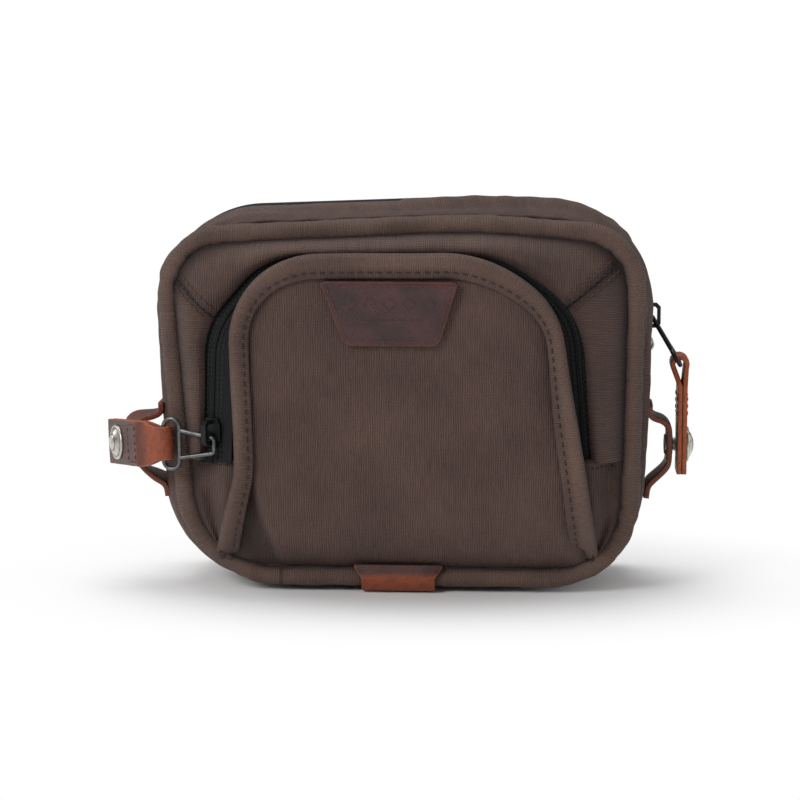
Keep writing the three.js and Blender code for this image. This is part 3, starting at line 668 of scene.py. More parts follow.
def thread_material(name, color):
    n = Nodes(name)
    strand = n.noise(n.place(), 3.5, 2)
    n.bump(strand, 0.15)
    n.finish(n.mix(strand, srgb(color, 0.55), srgb(color)), 0.65)


def floor_material():
    """Pale paper near the bag, so that it takes the shadow; pure white further away."""
    n = Nodes("floor")
    x, y = n.parts(n.place())
    away = n.math("SQRT", n.add(n.math("POWER", n.times(x, 0.62), 2), n.math("POWER", y, 2)))
    white = n.levels(away, 34, 140, "SMOOTHSTEP")
    n.finish((0.9, 0.9, 0.9, 1), 0.8, Specular_IOR_Level=0.1)
    mixed = n.node("ShaderNodeMixShader")
    n.link(white, mixed.inputs["Fac"])
    n.link(n.shader.outputs[0], mixed.inputs[1])
    n.link(n.node("ShaderNodeEmission").outputs[0], mixed.inputs[2])
    n.link(mixed.outputs[0], n.tree.nodes["Material Output"].inputs["Surface"])


def make_materials():
    """Every finish, with its colours as 0-255 screen values."""
    canvas_material("canvas", (63, 46, 41), (106, 82, 73), (146, 119, 105))
    leather_material("leather", (82, 44, 36), (140, 64, 28), (168, 82, 38), (46, 24, 20))
    leather_material("badge_leather", (74, 40, 38), (134, 64, 38), (104, 50, 38), (42, 23, 23), emblem=True)
    zip_tape_material()
    plain_fabric_material("lining", (20, 20, 20), (42, 40, 38))
    plain_fabric_material("board", (14, 14, 15), (28, 28, 30))
    metal_material("zip_coil", (20, 21, 22), (12, 12, 13), 0.32, 0.4, metallic=0.0)
    metal_material("dark_metal", (34, 35, 37), (16, 16, 17), 0.28, 0.5, metallic=0.6)
    metal_material("wire", (112, 114, 115), (46, 48, 50), 0.26, 0.8)
    metal_material("nickel", (205, 200, 190), (58, 55, 50), 0.24, 0.55)
    thread_material("canvas_thread", (52, 34, 30))
    thread_material("seam_thread", (92, 52, 43))
    thread_material("leather_thread", (128, 62, 40))
    thread_material("zip_thread", (36, 38, 39))
    floor_material()


# ------------------------------------------------------------------ piping and gussets
def piping(name, y, body, seed, node):
    """A fabric cord round the outline, slightly uneven, creased across where it turns tightly."""
    inset, sides = 4.0, 26
    centre = Path(FRONT.points - FRONT.out * inset, True)
    turn = np.linalg.norm(np.roll(centre.out, -3, axis=0) - np.roll(centre.out, 3, axis=0), axis=1)
    rings, wear, shade = [], [], []
    for (x, z), out, s, tight in zip(centre.points, centre.out, centre.at, np.minimum(turn * 3, 1)):
        swell = 1 + 0.09 * ripple(x, 0, z, 16, seed) + 0.04 * ripple(x, 0, z, 5, seed + 4)
        sway = 0.7 * ripple(x, 0, z, 45, seed + 9)
        crease = (0.2 + 0.55 * tight) * ripple(s, 0, 0, 3.6, seed + 2)
        rubbed = 0.36 * (0.7 + 0.9 * ripple(x, 0, z, 22, seed))
        ring = []
        for a in 2 * math.pi * np.arange(sides) / sides:
            inner = max(0.0, -math.cos(a))
            r = PIPING_RADIUS * swell + crease * (0.3 + inner)
            r += 0.12 * ripple(s, 9 * a, 0, 7, seed + 6)
            r += (0.25 + 0.5 * tight) * ripple(s + 4.5 * math.sin(a), 0, 0, 5, seed + 12)
            outwards = r * math.cos(a)
            ring.append((x + out[0] * outwards, y + sway + r * math.sin(a), z + out[1] * outwards))
            facing = math.sin(a) * (1 if y > 0 else -1)
            wear.append(rubbed * max(0.0, facing) ** 2)
            # Painted shade on the cord's inner side, in the groove where it meets the cloth inside the
            # piping.
            shade.append(0.9 * float(smooth(0.62, 0.98, inner)))
        rings.append(ring)
    swept(name, rings, "canvas", body, closed=True, tones={"wear": wear, "shade": shade}, node=node)


def pipings():
    piping("front_piping_cord", -PIPING_Y, "front_shell", 1.7, "front_piping")
    piping("rear_piping_cord", PIPING_Y, "main_body", 5.3, "rear_piping")


def across_path(path, section):
    """A grid of points over a path: section is [(outward, y)]."""
    return np.array([[(x + out[0] * o, y, z + out[1] * o) for o, y in section]
                     for (x, z), out in zip(path.points, path.out)])


def gusset_lift(x, y, z):
    """The gusset's unevenness: gathers at the pipings, and long folds that run beside them."""
    off_zip = abs(y)
    near_piping = float(smooth(8, 24, off_zip))
    run = x - z if x > 0 else x + z
    gathers = 0.5 * near_piping * ripple(x, 0.25 * y, z, 6.5, 3)
    folds = (3.0 if y < 0 else 1.5) * ripple(run / 28, y, 0, 4.6, 5)
    folds *= float(smooth(9, 14, off_zip)) * (1 - float(smooth(24, 27, off_zip)))
    sag = 0.7 * ripple(x, y, z, 38, 8) + 0.25 * ripple(x, y, z, 12, 11)
    return gathers + folds + sag * float(smooth(5, 9, off_zip)) * (1 - 0.6 * near_piping)


def gusset_band(name, path, section, body, node):
    """A crowned band of canvas across the bag's depth, with painted shade in its folds. section is [(outward,
    y)].
    """
    section = resampled(np.array(section, float), 1.1)
    rise = np.array([[gusset_lift(x, y, z) for _, y in section] for x, z in path.points])
    grid = across_path(path, section)
    grid[..., 0] += path.out[:, :1] * rise
    grid[..., 2] += path.out[:, 1:] * rise
    # Painted shade where the cloth lies low, in the valleys of its folds.
    shade = 0.45 * smooth(0.1, -1.3, rise)
    cloth = sheet(name, grid, "canvas", body, tones={"shade": shade}, node=node)
    return thicken(face_away(cloth, BODY_MIDDLE), CANVAS)


def main_gussets():
    """The band round the body: two halves beside the main zip, and one piece under the bag."""
    hem = 5.2
    rear = [(-3, hem + 0.2), (-2, hem), (-2, hem + 1.2), (-2.9, 9), (-3.8, 14), (-4.8, 20), (-5.8, 25.5),
            (-6.8, 28)]
    front = [(-3, -hem - 0.2), (-1.7, -hem), (-1.5, -hem - 1.2), (-1.0, -9.5), (-0.4, -14), (-0.5, -19),
             (-3, -25), (-6.2, -28)]
    beneath = [(-6, -28), (-3.2, -25), (-0.6, -18), (-0.4, -10), (-0.6, 0), (-1.6, 10), (-3.4, 18),
               (-5.6, 25.5), (-6.6, 28)]
    over = GIRTH.over(ZIP_END_Z, ZIP_END_Z)
    stitched = GIRTH.over(ZIP_END_Z + 2, ZIP_END_Z + 2, 1.0)
    outwards = at_depth(stitched.out, 0.0)
    for label, side, body, section in (("rear", 1, "main_body", rear), ("front", -1, "front_shell", front)):
        cloth = gusset_band(f"{label}_gusset_cloth", over, section, body, f"{label}_gusset")
        beside_zip = at_depth(stitched.points, side * (hem + 1.9))
        stitches(f"{label}_zip_topstitch", laid_on(beside_zip, outwards, [cloth]), outwards, body, gap=0.9)
    under = GIRTH.between(ZIP_END_Z + 1.5, 1, ZIP_END_Z + 1.5, -1)
    bottom = gusset_band("bottom_gusset_cloth", under, beneath, None, "bottom_gusset")
    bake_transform(bottom)


# ------------------------------------------------------------------ main zip
def coil_row(name, path, place, side, body, node):
    """Nylon coil: flattened loops across the edge of a tape. place maps (out, across) to (out, y)."""
    pitch, loop, thick = 1.6, 14, 6
    half_wide, half_deep, wire, from_middle = 1.25, 0.8, 0.32, 1.45
    verts, faces = [], []
    for (x, z), out in zip(*path.place(pitch * np.arange(int(path.length / pitch)))):
        base = len(verts)
        for a in 2 * math.pi * np.arange(loop) / loop:
            for b in 2 * math.pi * np.arange(thick) / thick:
                grow = wire * math.cos(b)
                lean = wire * math.sin(b) + 0.35 * math.sin(a)
                across = from_middle + math.cos(a) * (half_wide + grow)
                o, y = place(math.sin(a) * (half_deep + grow), side * across)
                verts.append((x + out[0] * o + out[1] * lean, y, z + out[1] * o - out[0] * lean))
        faces += (quads(loop, thick, True, True) + base).tolist()
    make_mesh(name, verts, faces, "zip_coil", body, node=node)


def main_zip():
    """Two woven tapes with the coil underneath, seen between the gusset hems."""
    level = ZIP_LEVEL
    profile = [(level - 0.5, 0.3), (level + 0.3, 0.4), (level + 0.8, 1.3), (level + 0.7, 2.6), (level, 4.4),
               (level, 7.5)]
    profile = resampled(np.array(profile), 0.5)
    over = GIRTH.over(ZIP_END_Z + 0.5, ZIP_END_Z + 0.5)
    coils = GIRTH.over(ZIP_END_Z + 5, ZIP_END_Z + 5, 0.5)
    for side, body, label in ((1, "main_body", "rear"), (-1, "front_shell", "front")):
        grid = across_path(over, profile * [1, side])
        tape = sheet(f"{label}_zip_tape_cloth", grid, "zip_tape", body, node=f"{label}_zip_tape")
        thicken(face_away(tape, BODY_MIDDLE), TAPE)
        coil_row(f"{label}_zip_teeth", coils, lambda o, y: (o + level - 2.2, y), side, body,
                 f"{label}_zip_coil")


def zip_end_clamps():
    """A folded nickel clamp over each end of the main zip, where its tapes go under the side gusset."""
    half_width, thickness = 4.2, 0.9
    for side, label in ((-1, "left"), (1, "right")):
        root = GIRTH.x_at(ZIP_END_Z, side) - side * 0.8
        line = smooth_line([(0, -3.4), (side * 1.6, -2.6), (side * 3.2, 0), (side * 1.6, 2.6), (0, 3.4)], 0.5)
        strap(f"main_zip_clamp_{label}", at_depth(line + [root, ZIP_END_Z], 0.0), half_width, (0, 1, 0),
              thickness, "main_body", material="nickel", node=f"main_zip_stop_{label}")


# ------------------------------------------------------------------ panels
def fill_panel(name, node, body, material, thickness, y, facing, inset, seed, crown):
    """A panel inside the piping, facing forward (-1) or back (1): rings of the outline, drawn in."""
    middle = np.array([0.0, 78.0])
    ring = FRONT.points - FRONT.out * inset
    rows, uv = [], []
    for share in np.maximum(np.sin(np.linspace(math.pi / 2, 0, 46)), 0.004):
        row = middle + (ring - middle) * share
        bulge = crown * (1 - share ** 2.6)
        slack = 0.5 * (1 - share ** 6)
        rows.append([(x, y + facing * (bulge + slack * ripple(x, 0, z, 34, seed)), z) for x, z in row])
        uv.append(row)
    n, m = len(rows), len(ring)
    faces = quads(n, m, close_cols=True).tolist() + [list(range((n - 1) * m, n * m))]
    obj = make_mesh(name, rows, faces, material, body, uv, node=node)
    if obj.data.polygons[0].normal.y * facing < 0:
        obj.data.flip_normals()
    thicken(obj, thickness)


def panels():
    """The back with its stiffener and lining, and the front behind the pocket with its lining."""
    rear, front, body, shell = PIPING_Y, -PIPING_Y, "main_body", "front_shell"
    fill_panel("back_panel_cloth", "back_panel", body, "canvas", CANVAS, rear + 0.2, 1, 6.2, 2.2, 0.9)
    fill_panel("back_stiffener_sheet", "back_stiffener", body, "board", BOARD, rear - 1.6, 1, 9.5, 1.4, 0)
    fill_panel("back_lining_cloth", "back_lining", body, "lining", LINING, rear - 3.4, -1, 9, 4.8, 0.4)
    fill_panel("front_panel_cloth", "front_panel", shell, "canvas", CANVAS, front - 0.3, -1, 6.2, 6.1, 0.2)
    fill_panel("front_lining_cloth", "front_lining", shell, "lining", LINING, front + 1.3, 1, 9, 8.4, 0.4)


# ------------------------------------------------------------------ pocket gusset
def between_paths(outer, inner, count, y_inner, seed):
    """A grid of cloth from the piping to the pocket zip, swelling forward in the middle."""
    y_outer, bulge, columns = -29.6, 2.3, 20
    rows = []
    starts = outer.place(np.linspace(0, outer.length, count))[0]
    ends = inner.place(np.linspace(0, inner.length, count))[0]
    for p, q in zip(starts, ends):
        row = []
        for t in np.linspace(0, 1, columns):
            x, z = p + (q - p) * t
            free = math.sin(math.pi * t)
            rise = math.sin(min(t / 0.72, 1) * math.pi / 2) ** 0.85
            y = y_outer + (y_inner - bulge - y_outer) * rise
            y += 1.35 * bulge * float(smooth(0.74, 1.05, t)) ** 1.4
            y += free * (1.1 * ripple(x, 0, z, 26, seed) + 0.45 * ripple(x, 0, z, 8, seed + 3))
            y += 0.5 * (1 - t) ** 3 * ripple(x, 0, z, 4.5, seed + 5)
            row.append((x, y, z))
        rows.append(row)
    return np.array(rows)


def pocket_gussets():
    """Three strips from the piping to the pocket zip, with mitred corner seams."""
    thickness, low = 1.1, POCKET_END_Z - 1
    # The places where strips end, as (side, height at the piping, height at the zip).
    left_end, left_seam = (-1, low, low), (-1, *SEAMS["left"])
    right_seam, right_end = (1, *SEAMS["right"]), (1, low, low)
    strips = (("left", left_end, left_seam, 60, -38.4), ("top", left_seam, right_seam, 150, -39.3),
              ("right", right_seam, right_end, 60, -38.4))
    made = []
    for k, (label, start, end, count, y_inner) in enumerate(strips):
        outer = INSIDE_PIPING.between(start[1], start[0], end[1], end[0])
        inner = GUSSET.between(start[2], start[0], end[2], end[0], offset=-0.2)
        grid = between_paths(outer, inner, count, y_inner, 11 + k)
        # The strip's zip edge is turned under, so its last row rolls back over the tape.
        grid = np.concatenate([grid, grid[:, -1:] + [0, 0.9, 0]], axis=1)
        rows = np.arange(count)
        dip = 0.8 * np.exp(-np.minimum(rows, rows[::-1]) / 1.4)[:, None]
        if label == "left":
            dip[:count // 2] = 0
        if label == "right":
            dip[count // 2:] = 0
        grid[..., 1] += dip
        columns = np.arange(grid.shape[1])
        # Painted shade: in the groove at the piping, along the turned zip edge and in the dips by the mitres.
        shade = dip + 1.7 * np.exp(-columns / 2.3) + 0.7 * np.exp(-columns[::-1] / 2.0)
        # Painted shade over the whole right strip, which is turned away from the key lamp.
        shade += 0.16 * (label == "right")
        ribs = [0, 2] if label == "top" else [2, 0]
        strip = front_sheet(f"pocket_gusset_{label}_cloth", grid, "canvas", "front_shell", grid[..., ribs],
                            tones={"shade": np.clip(shade, 0, 1)}, node=f"pocket_gusset_{label}")
        made.append(thicken(strip, thickness))
    seam_stitches(made)


def seam_stitches(gussets):
    """A dark row in each mitred seam, with a lighter row on either side of it."""
    beside = 2.6
    for label, side in (("left", -1), ("right", 1)):
        at_piping, at_zip = SEAMS[label]
        p = INSIDE_PIPING.place([INSIDE_PIPING.height(at_piping, side)])[0][0]
        q = GUSSET.place([GUSSET.height(at_zip, side)])[0][0]
        seam = p + (q - p) * np.linspace(0.1, 0.97, 40)[:, None]
        across = unit(np.array([-(q - p)[1], (q - p)[0]]))
        for row, shift, thread in (("upper", beside, "seam_thread"), ("lower", -beside, "seam_thread"),
                                   ("seam", 0.0, "canvas_thread")):
            line = laid_on(at_depth(seam + across * shift, POCKET_FACE_Y), FORWARD, gussets)
            stitches(f"mitre_stitch_{label}_{row}", line, FORWARD, "front_shell", thread, length=2.3, gap=0.8,
                     radius=0.42, sink=0.02)


def pocket_ends():
    """The plain patches below the zip's ends, gathered into the piping."""
    count, columns, thickness, y_piping = 46, 22, 1.0, -30.6
    high, low = POCKET_END_Z + 0.6, POCKET_BOTTOM_Z + 4
    welt_bottom = WELT_LINE[0][1] + 0.5
    for side, label in ((-1, "left"), (1, "right")):
        rows = []
        for z in np.linspace(low, high, count):
            x_piping = INSIDE_PIPING.x_at(z, side)
            x_welt = WELT.x_at(max(z, welt_bottom), side) - side * 1.5
            y_welt = POCKET_FACE_Y + 2.0 + float(drawn_in(z))
            edge = float(smooth(high - 3.0, high, z))
            hem = 0.9 * edge ** 3 - 0.7 * math.sin(math.pi * edge) ** 2
            row = []
            for t in np.linspace(0, 1, columns):
                x = x_piping + (x_welt - x_piping) * t
                gathers = 1.9 * math.cos(3 * math.pi * t + 0.05 * z) + 2.0 * ripple(x, 0, z, 12, 21 + side)
                gathers += 0.6 * ripple(x, 0, z, 5, 25 + side)
                y = y_piping + (y_welt - y_piping) * t ** 1.3 + gathers * math.sin(math.pi * t) + hem
                row.append((x, y, z))
            rows.append(row)
        grid = np.array(rows)
        across = np.arange(columns)
        # Painted shade along both long edges, where the patch meets the piping and the welt.
        shade = np.tile(1.2 * np.exp(-across / 4.5) + 0.9 * np.exp(-across[::-1] / 3.5), (count, 1))
        patch = front_sheet(f"pocket_end_{label}_cloth", grid, "canvas", None, grid[..., [0, 2]],
                            tones={"shade": shade}, node=f"pocket_end_{label}")
        thicken(patch, thickness)
        hem_line = laid_on(grid[-5, 4:-3], FORWARD, [patch])
        stitches(f"pocket_end_stitch_{label}", hem_line, FORWARD, "front_shell", length=1.9, gap=0.9,
                 radius=0.24, sink=0.05)
        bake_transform(patch)


# ------------------------------------------------------------------ pocket zip
def tilted(along_tape, depth):
    """(outward, y) of a place on the pocket's tilted tape."""
    sine, cosine = math.sin(POCKET_ZIP_TILT), math.cos(POCKET_ZIP_TILT)
    return along_tape * cosine - depth * sine, POCKET_ZIP_Y + along_tape * sine + depth * cosine


def pocket_zip():
    """Two tilted tapes with the coil between them, and two rows of stitches along each."""
    right_end = POCKET_END_Z - 3
    coils = ZIP.over(SLIDER_Z + 5, POCKET_END_Z + 2, 0.5)
    halves = ((1, "front_shell", "outer", POCKET_END_Z - 3, 7.0),
              (-1, "pocket_flap", "inner", POCKET_END_Z - 2, 9.4))
    for side, body, label, left_end, reach in halves:
        profile = [(0.2, 0.8), (0.22, -0.1), (1.0, -0.45), (2.2, -0.3), (3.2, 0.0), (reach, 0.0)]
        section = [tilted(side * a, depth) for a, depth in resampled(np.array(profile), 0.45)]
        grid = across_path(ZIP.over(left_end, right_end, 1.0), section)
        tape = front_sheet(f"pocket_{label}_tape_cloth", grid, "zip_tape", body, node=f"pocket_{label}_tape")
        thicken(tape, TAPE)
        coil_row(f"pocket_{label}_teeth", coils, lambda o, y: tilted(y, 1.7 - o), side, body,
                 f"pocket_{label}_coil")
        stitched = ZIP.over(left_end + 0.5, right_end + 1, 0.8)
        for k, (a, depth) in enumerate(((1.7, -0.42), (3.6, -0.05))):
            o, y = tilted(side * a, depth)
            line = at_depth(stitched.points + stitched.out * o, y)
            stitches(f"pocket_{label}_tape_stitch_{k}", line, FORWARD, body, "zip_thread", "zip_tape",
                     length=1.5, gap=0.5, radius=0.26)


# ------------------------------------------------------------------ pocket front
def bend_at_bottom(obj):
    """Bakes the piece's transform into its mesh."""
    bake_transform(obj)


def fold_of(x, z):
    """1 in the hollow between the welt's lower left and the face's diagonal fold, 0 right of the fold."""
    beside = x + 49 + 0.33 * (z - 12)
    return smooth(0.8, -3.2, beside) * smooth(80, 50, z) * smooth(6, 18, z)


def pocket_face():
    """The face panel: cloth simulated under a little pressure, pinned where it meets the welt and piping."""
    count, columns = 96, 110
    edge = Path(WELT.points - WELT.out * 4.5, False)
    top = edge.points[:, 1].max() - 0.03
    rows = []
    for z in top - (top - POCKET_BOTTOM_Z) * (1 - np.linspace(0, 1, count)) ** 1.35:
        left, right = edge.points[0, 0], edge.points[-1, 0]
        if z > edge.points[0, 1] + 0.2:
            left, right = edge.x_at(z, -1), edge.x_at(z, 1)
        left = max(left, INSIDE_PIPING.x_at(max(z, POCKET_BOTTOM_Z), -1) + 1)
        right = min(right, INSIDE_PIPING.x_at(max(z, POCKET_BOTTOM_Z), 1) - 1)
        row = np.stack([np.linspace(left, right, columns), np.full(columns, z)], axis=1)
        rows.append(at_depth(row, POCKET_FACE_Y + 0.8 + float(drawn_in(z))))
    grid = np.array(rows)
    x, z = grid[..., 0], grid[..., 2]
    from_edge = np.minimum.reduce([x - x[:, :1], x[:, -1:] - x, top - z, z - POCKET_BOTTOM_Z])
    # Painted shade near all the face's edges, against the welt and the piping, and in the hollow beside the
    # diagonal fold.
    shade = 0.95 * np.exp(-from_edge / 3.0) + 0.5 * fold_of(x, z)
    obj = front_sheet("pocket_face_cloth", grid, "canvas", None, grid[..., [0, 2]],
                      tones={"shade": np.clip(shade, 0, 1)}, node="pocket_face")
    pinned = np.ones((count, columns), bool)
    pinned[1:-1, 1:-1] = False
    inflate(obj, pinned.ravel(), pressure=1.6, frames=18, cap=5.0)
    settle(obj, count, columns)
    thicken(obj, CANVAS)
    bend_at_bottom(obj)


def inflate(obj, pinned, pressure, frames, cap):
    """Runs Blender's cloth on a pinned sheet, then limits how far each point has moved."""
    before = vertices_of(obj)
    group = obj.vertex_groups.new(name="pins")
    group.add(np.flatnonzero(pinned).tolist(), 1.0, "REPLACE")
    cloth = obj.modifiers.new("cloth", "CLOTH").settings
    cloth.quality = 5
    cloth.mass = 0.3
    cloth.tension_stiffness = 25
    cloth.compression_stiffness = 12
    cloth.shear_stiffness = 8
    cloth.bending_stiffness = 0.6
    cloth.use_pressure = True
    cloth.uniform_pressure_force = pressure
    cloth.vertex_group_mass = "pins"
    cloth.effector_weights.gravity = 0.0
    cloth.time_scale = 0.6
    scene = bpy.context.scene
    for f in range(1, frames + 1):
        scene.frame_set(f)
    apply_modifiers(obj)
    scene.frame_set(1)
    moved = vertices_of(obj) - before
    size = np.linalg.norm(moved, axis=1, keepdims=True)
    put_vertices(obj, before + moved * np.minimum(1, cap * METRE / np.maximum(size, 1e-12)))
    obj.vertex_groups.clear()


def settle(obj, rows, columns):
    """Adds the face's long soft folds: a dent by the lower left and creases into the bottom seam."""
    points = (vertices_of(obj) / METRE).reshape(rows, columns, 3)
    x, z = points[..., 0], points[..., 2] - LIFT
    up, across = np.linspace(0, 1, rows), np.linspace(0, 1, columns)
    free = np.outer(np.sin(math.pi * up) ** 0.6, np.sin(math.pi * across) ** 0.6)
    hollow = smooth(9, 0, 66 - np.abs(x + 2)) * smooth(20, 60, z) * smooth(130, 100, z)
    crease = ripples(x, 0, 0, 7, 33) * smooth(30, 11, z) * 0.5
    dome = 1.2
    swell = dome - 1.5 * ripples(x, 0, z, 40, 31) - 0.35 * ripples(x, 0, z, 9, 35)
    points[..., 1] += 3.4 * fold_of(x, z) + 1.2 * hollow + crease - free * swell
    put_vertices(obj, points * METRE)


def welt_width(share):
    """The welt's width at shares of its length: slim up the left and at the upper right, else full."""
    left = 1 - smooth(0.30, 0.42, share)
    right = np.exp(-((share - 0.73) / 0.075) ** 2)
    ends = smooth(0.12, 0.0, share) + 0.5 * smooth(0.84, 1.0, share)
    return 0.97 - 0.24 * left - 0.32 * right + 0.14 * ends


def pocket_welt():
    """The folded U-shaped welt: a fat outer roll, and a flat inner leg with a row of stitches."""
    profile = [(-9.6, -0.2), (-9.8, -0.9), (-9.2, -1.5), (-7.6, -2.0), (-6, -2.6), (-4, -3.5), (-2, -3.9),
               (-0.4, -3.5), (0.8, -2.3), (1.1, -0.8), (0.9, 0.8), (0, 1.5), (-2.5, 1.2), (-5, 0.6),
               (-7.5, 0.2)]
    path = WELT.part(0, WELT.length, 1.3)
    turn = np.linalg.norm(np.vstack([path.out[3:], path.out[-3:]]) - path.out, axis=1)
    s = path.at
    to_end = np.minimum(s, path.length - s)
    plump = 1 + 0.09 * ripples(s, 0, 0, 19, 41) + 0.04 * ripples(s, 0, 0, 6, 43)
    taper = 0.55 + 0.45 * smooth(0, 14, to_end)
    tuck = 6.0 * (1 - smooth(3, 22, to_end))
    sway = 0.55 * ripples(s, 0, 0, 34, 47)
    pucker = 0.3 * ripples(s, 0, 0, 3.4, 45) * np.minimum(1, 0.35 + turn * 6)
    rubbed = 0.75 + 0.7 * ripples(s, 0, 0, 25, 49)
    slim = welt_width(s / path.length)

    def line_at(o, depth):
        """The line along the welt that lies o outwards; depth is how far back of the pocket's face it is."""
        flat = path.points + path.out * (o * (slim if o < 0 else 1) + sway)[:, None]
        return np.stack([flat[:, 0], POCKET_FACE_Y + depth + drawn_in(flat[:, 1]) + tuck, flat[:, 1]], axis=1)

    lines, wear, shade = [], [], []
    for o, depth in resampled(np.array(profile), 0.8, True):
        lines.append(line_at(o, depth * plump * taper + pucker * smooth(-3, -8, o)))
        wear.append(0.4 * smooth(-2.2, -3.7, depth) * rubbed)
        # Painted shade along the edge of the inner leg, where it meets the face.
        shade.append(0.7 * smooth(-9.3, -9.9, o) * np.ones(len(s)))
    tones = {"wear": np.transpose(wear), "shade": np.transpose(shade)}
    rings = np.stack(lines, axis=1)
    welt = swept("pocket_welt_cloth", rings, "canvas", None, tones=tones, node="pocket_welt")
    seam = laid_on(line_at(-6.9, -2.25 * plump - 0.1)[8:-8], FORWARD, [welt])
    row = stitches("pocket_welt_topstitch", seam, FORWARD, None, gap=1.3, radius=0.3, sink=0.1)
    bend_at_bottom(welt)
    bend_at_bottom(row)


def badge():
    """The leather badge: soft edges, a stitched border, and a plain pressed rule with lozenges."""
    outline = Path.rounded(BADGE_OUTLINE, True, 0.7)
    y = POCKET_FACE_Y - 3.4
    centre = outline.points.mean(axis=0)
    # Rings as (inset, how far back): over the cut edge, then in to the middle.
    rings = [(0.0, 1.7), (0.0, 0.4), (0.15, 0.1), (0.5, 0.0)] + [(d, 0.0) for d in np.linspace(1.2, 12.6, 34)]
    rows, edge = [], []
    for inset, back in rings:
        ring = outline.points - outline.out * inset
        if inset > 2:
            ring = centre + (outline.points - centre) * (1 - inset / 13.4)
        rows.append([(x, y + back + 0.25 * ripple(x, 0, z, 12, 71), z) for x, z in ring])
        edge += [1.0 if inset < 0.4 else 0.0] * len(ring)
    rows = np.array(rows)
    n, m = rows.shape[:2]
    faces = quads(n, m, close_cols=True).tolist() + end_faces(n, m)
    face_out(make_mesh("badge_patch_leather", rows, faces, "badge_leather", "pocket_flap", rows[..., [0, 2]],
                       {"edge": edge}, node="badge_patch"))
    border = at_depth(closed_up(outline.points - outline.out * 1.9), y - 0.05)
    stitches("badge_stitch", border, FORWARD, "pocket_flap", "leather_thread", "badge_leather", length=2.0,
             gap=0.8, radius=0.25)


# ------------------------------------------------------------------ straps and snaps
def rounded_section(half_width, half_thick, corner, crown):
    """A rounded rectangle's corners as (across, up), with crowned long sides."""
    steps = 3
    wide, tall = half_width - corner, half_thick - corner
    points = []
    for cx, cz, start in ((1, 1, 0), (-1, 1, 90), (-1, -1, 180), (1, -1, 270)):
        for a in np.radians(start + 90 * np.arange(steps + 1) / steps):
            points.append((cx * wide + corner * math.cos(a), cz * tall + corner * math.sin(a)))
        if crown and cx == cz:
            points += [(cx * wide * s, cz * (half_thick + crown * (1 - s * s))) for s in (0.5, 0, -0.5)]
    return points


def strap(name, points, half_width, across, thickness, body, bend=0.0, crown=0.0, edge_tone=1.0,
          material="leather", node=None):
    """A strap with rounded cut edges. half_width, across and bend are one for all rings, or one per ring."""
    points = np.asarray(points, float)
    across = unit(np.broadcast_to(np.asarray(across, float), points.shape))
    half_width = np.broadcast_to(half_width, len(points))
    bend = np.broadcast_to(bend, len(points))
    corner = min(0.55, thickness * 0.3)
    rings, edge, bends = [], [], []
    for p, along, w, half, tone in zip(points, directions(points), across, half_width, bend):
        w = unit(w - along * (w @ along))
        up = np.cross(along, w)
        ring = []
        for a, b in rounded_section(half, thickness / 2, corner, crown):
            rough = 0.1 * ripple(p[0] + 3 * a, p[1] + b, p[2], 5, 61)
            frayed = rough * math.copysign(1, a) if abs(a) > half - 0.8 else 0.0
            ring.append(p + w * (a + frayed) + up * (b + 0.08 * rough))
            edge.append(edge_tone * float(smooth(half - 0.5, half - 0.05, abs(a))))
            bends.append(tone)
        rings.append(ring)
    return swept(name, rings, material, body, tones={"edge": edge, "bend": bends}, node=node)


def box_of(node):
    """A CAD node's lowest and highest corners, in mm."""
    return [row_millimetres(corner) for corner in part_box(node)]


def joint_place(name):
    """A joint's place, in mm."""
    return row_millimetres(next(j for j in frame["joints"] if j["name"] == name)["pos_m"])


def snap_cap(label, body, centre, facing):
    """A domed press-stud cap with a rolled rim and a plain engraved ring, on the face of a tab."""
    rim, dome, ring_radius = 7.4, 2.232, 3.5
    profile = [(0.05, -0.6), (rim - 0.5, -0.6), (rim, -0.2), (rim + 0.1, 0.3), (rim - 0.2, 0.75),
               (rim - 0.8, 0.85), (rim - 1.3, 0.7), (rim - 1.5, 0.85)]
    recess = [0, 0, 0.1, 0, 0, 0.1, 0.9, 0.3]
    for r in np.linspace(rim - 1.9, 0.02, 16):
        groove = 0.22 * math.exp(-((r - ring_radius) / 0.28) ** 2)
        profile.append((r, 0.85 + dome * (1 - (r / (rim - 1.5)) ** 2) ** 0.9 - groove))
        recess.append(min(1.0, groove * 3.6))
    turned(f"{label}_snap_cap_metal", profile, centre, facing, body, tones=recess, node=f"{label}_snap_cap")


# ------------------------------------------------------------------ pulls
TAB_LENGTH = 46.5
TAB_KNEE = 12                           # how far from the wire a tab bends
TAB_SET = 1.2                           # the tab's middle stands this far in front of its eye
TAB_SPREAD = 1.03                       # from the tab's middle to the middle of either layer
TAB_FACE = 2.05                         # and to its outer faces
SNAP_AT = 35
POCKET_TAB_BEND = math.radians(30)      # the pocket's tab bends this much further back at its knee
POCKET_TAB_BACK = math.radians(62)      # its far part runs left, this far back
POCKET_TAB_DROOP = math.radians(6.5)    # and hangs this far below the level


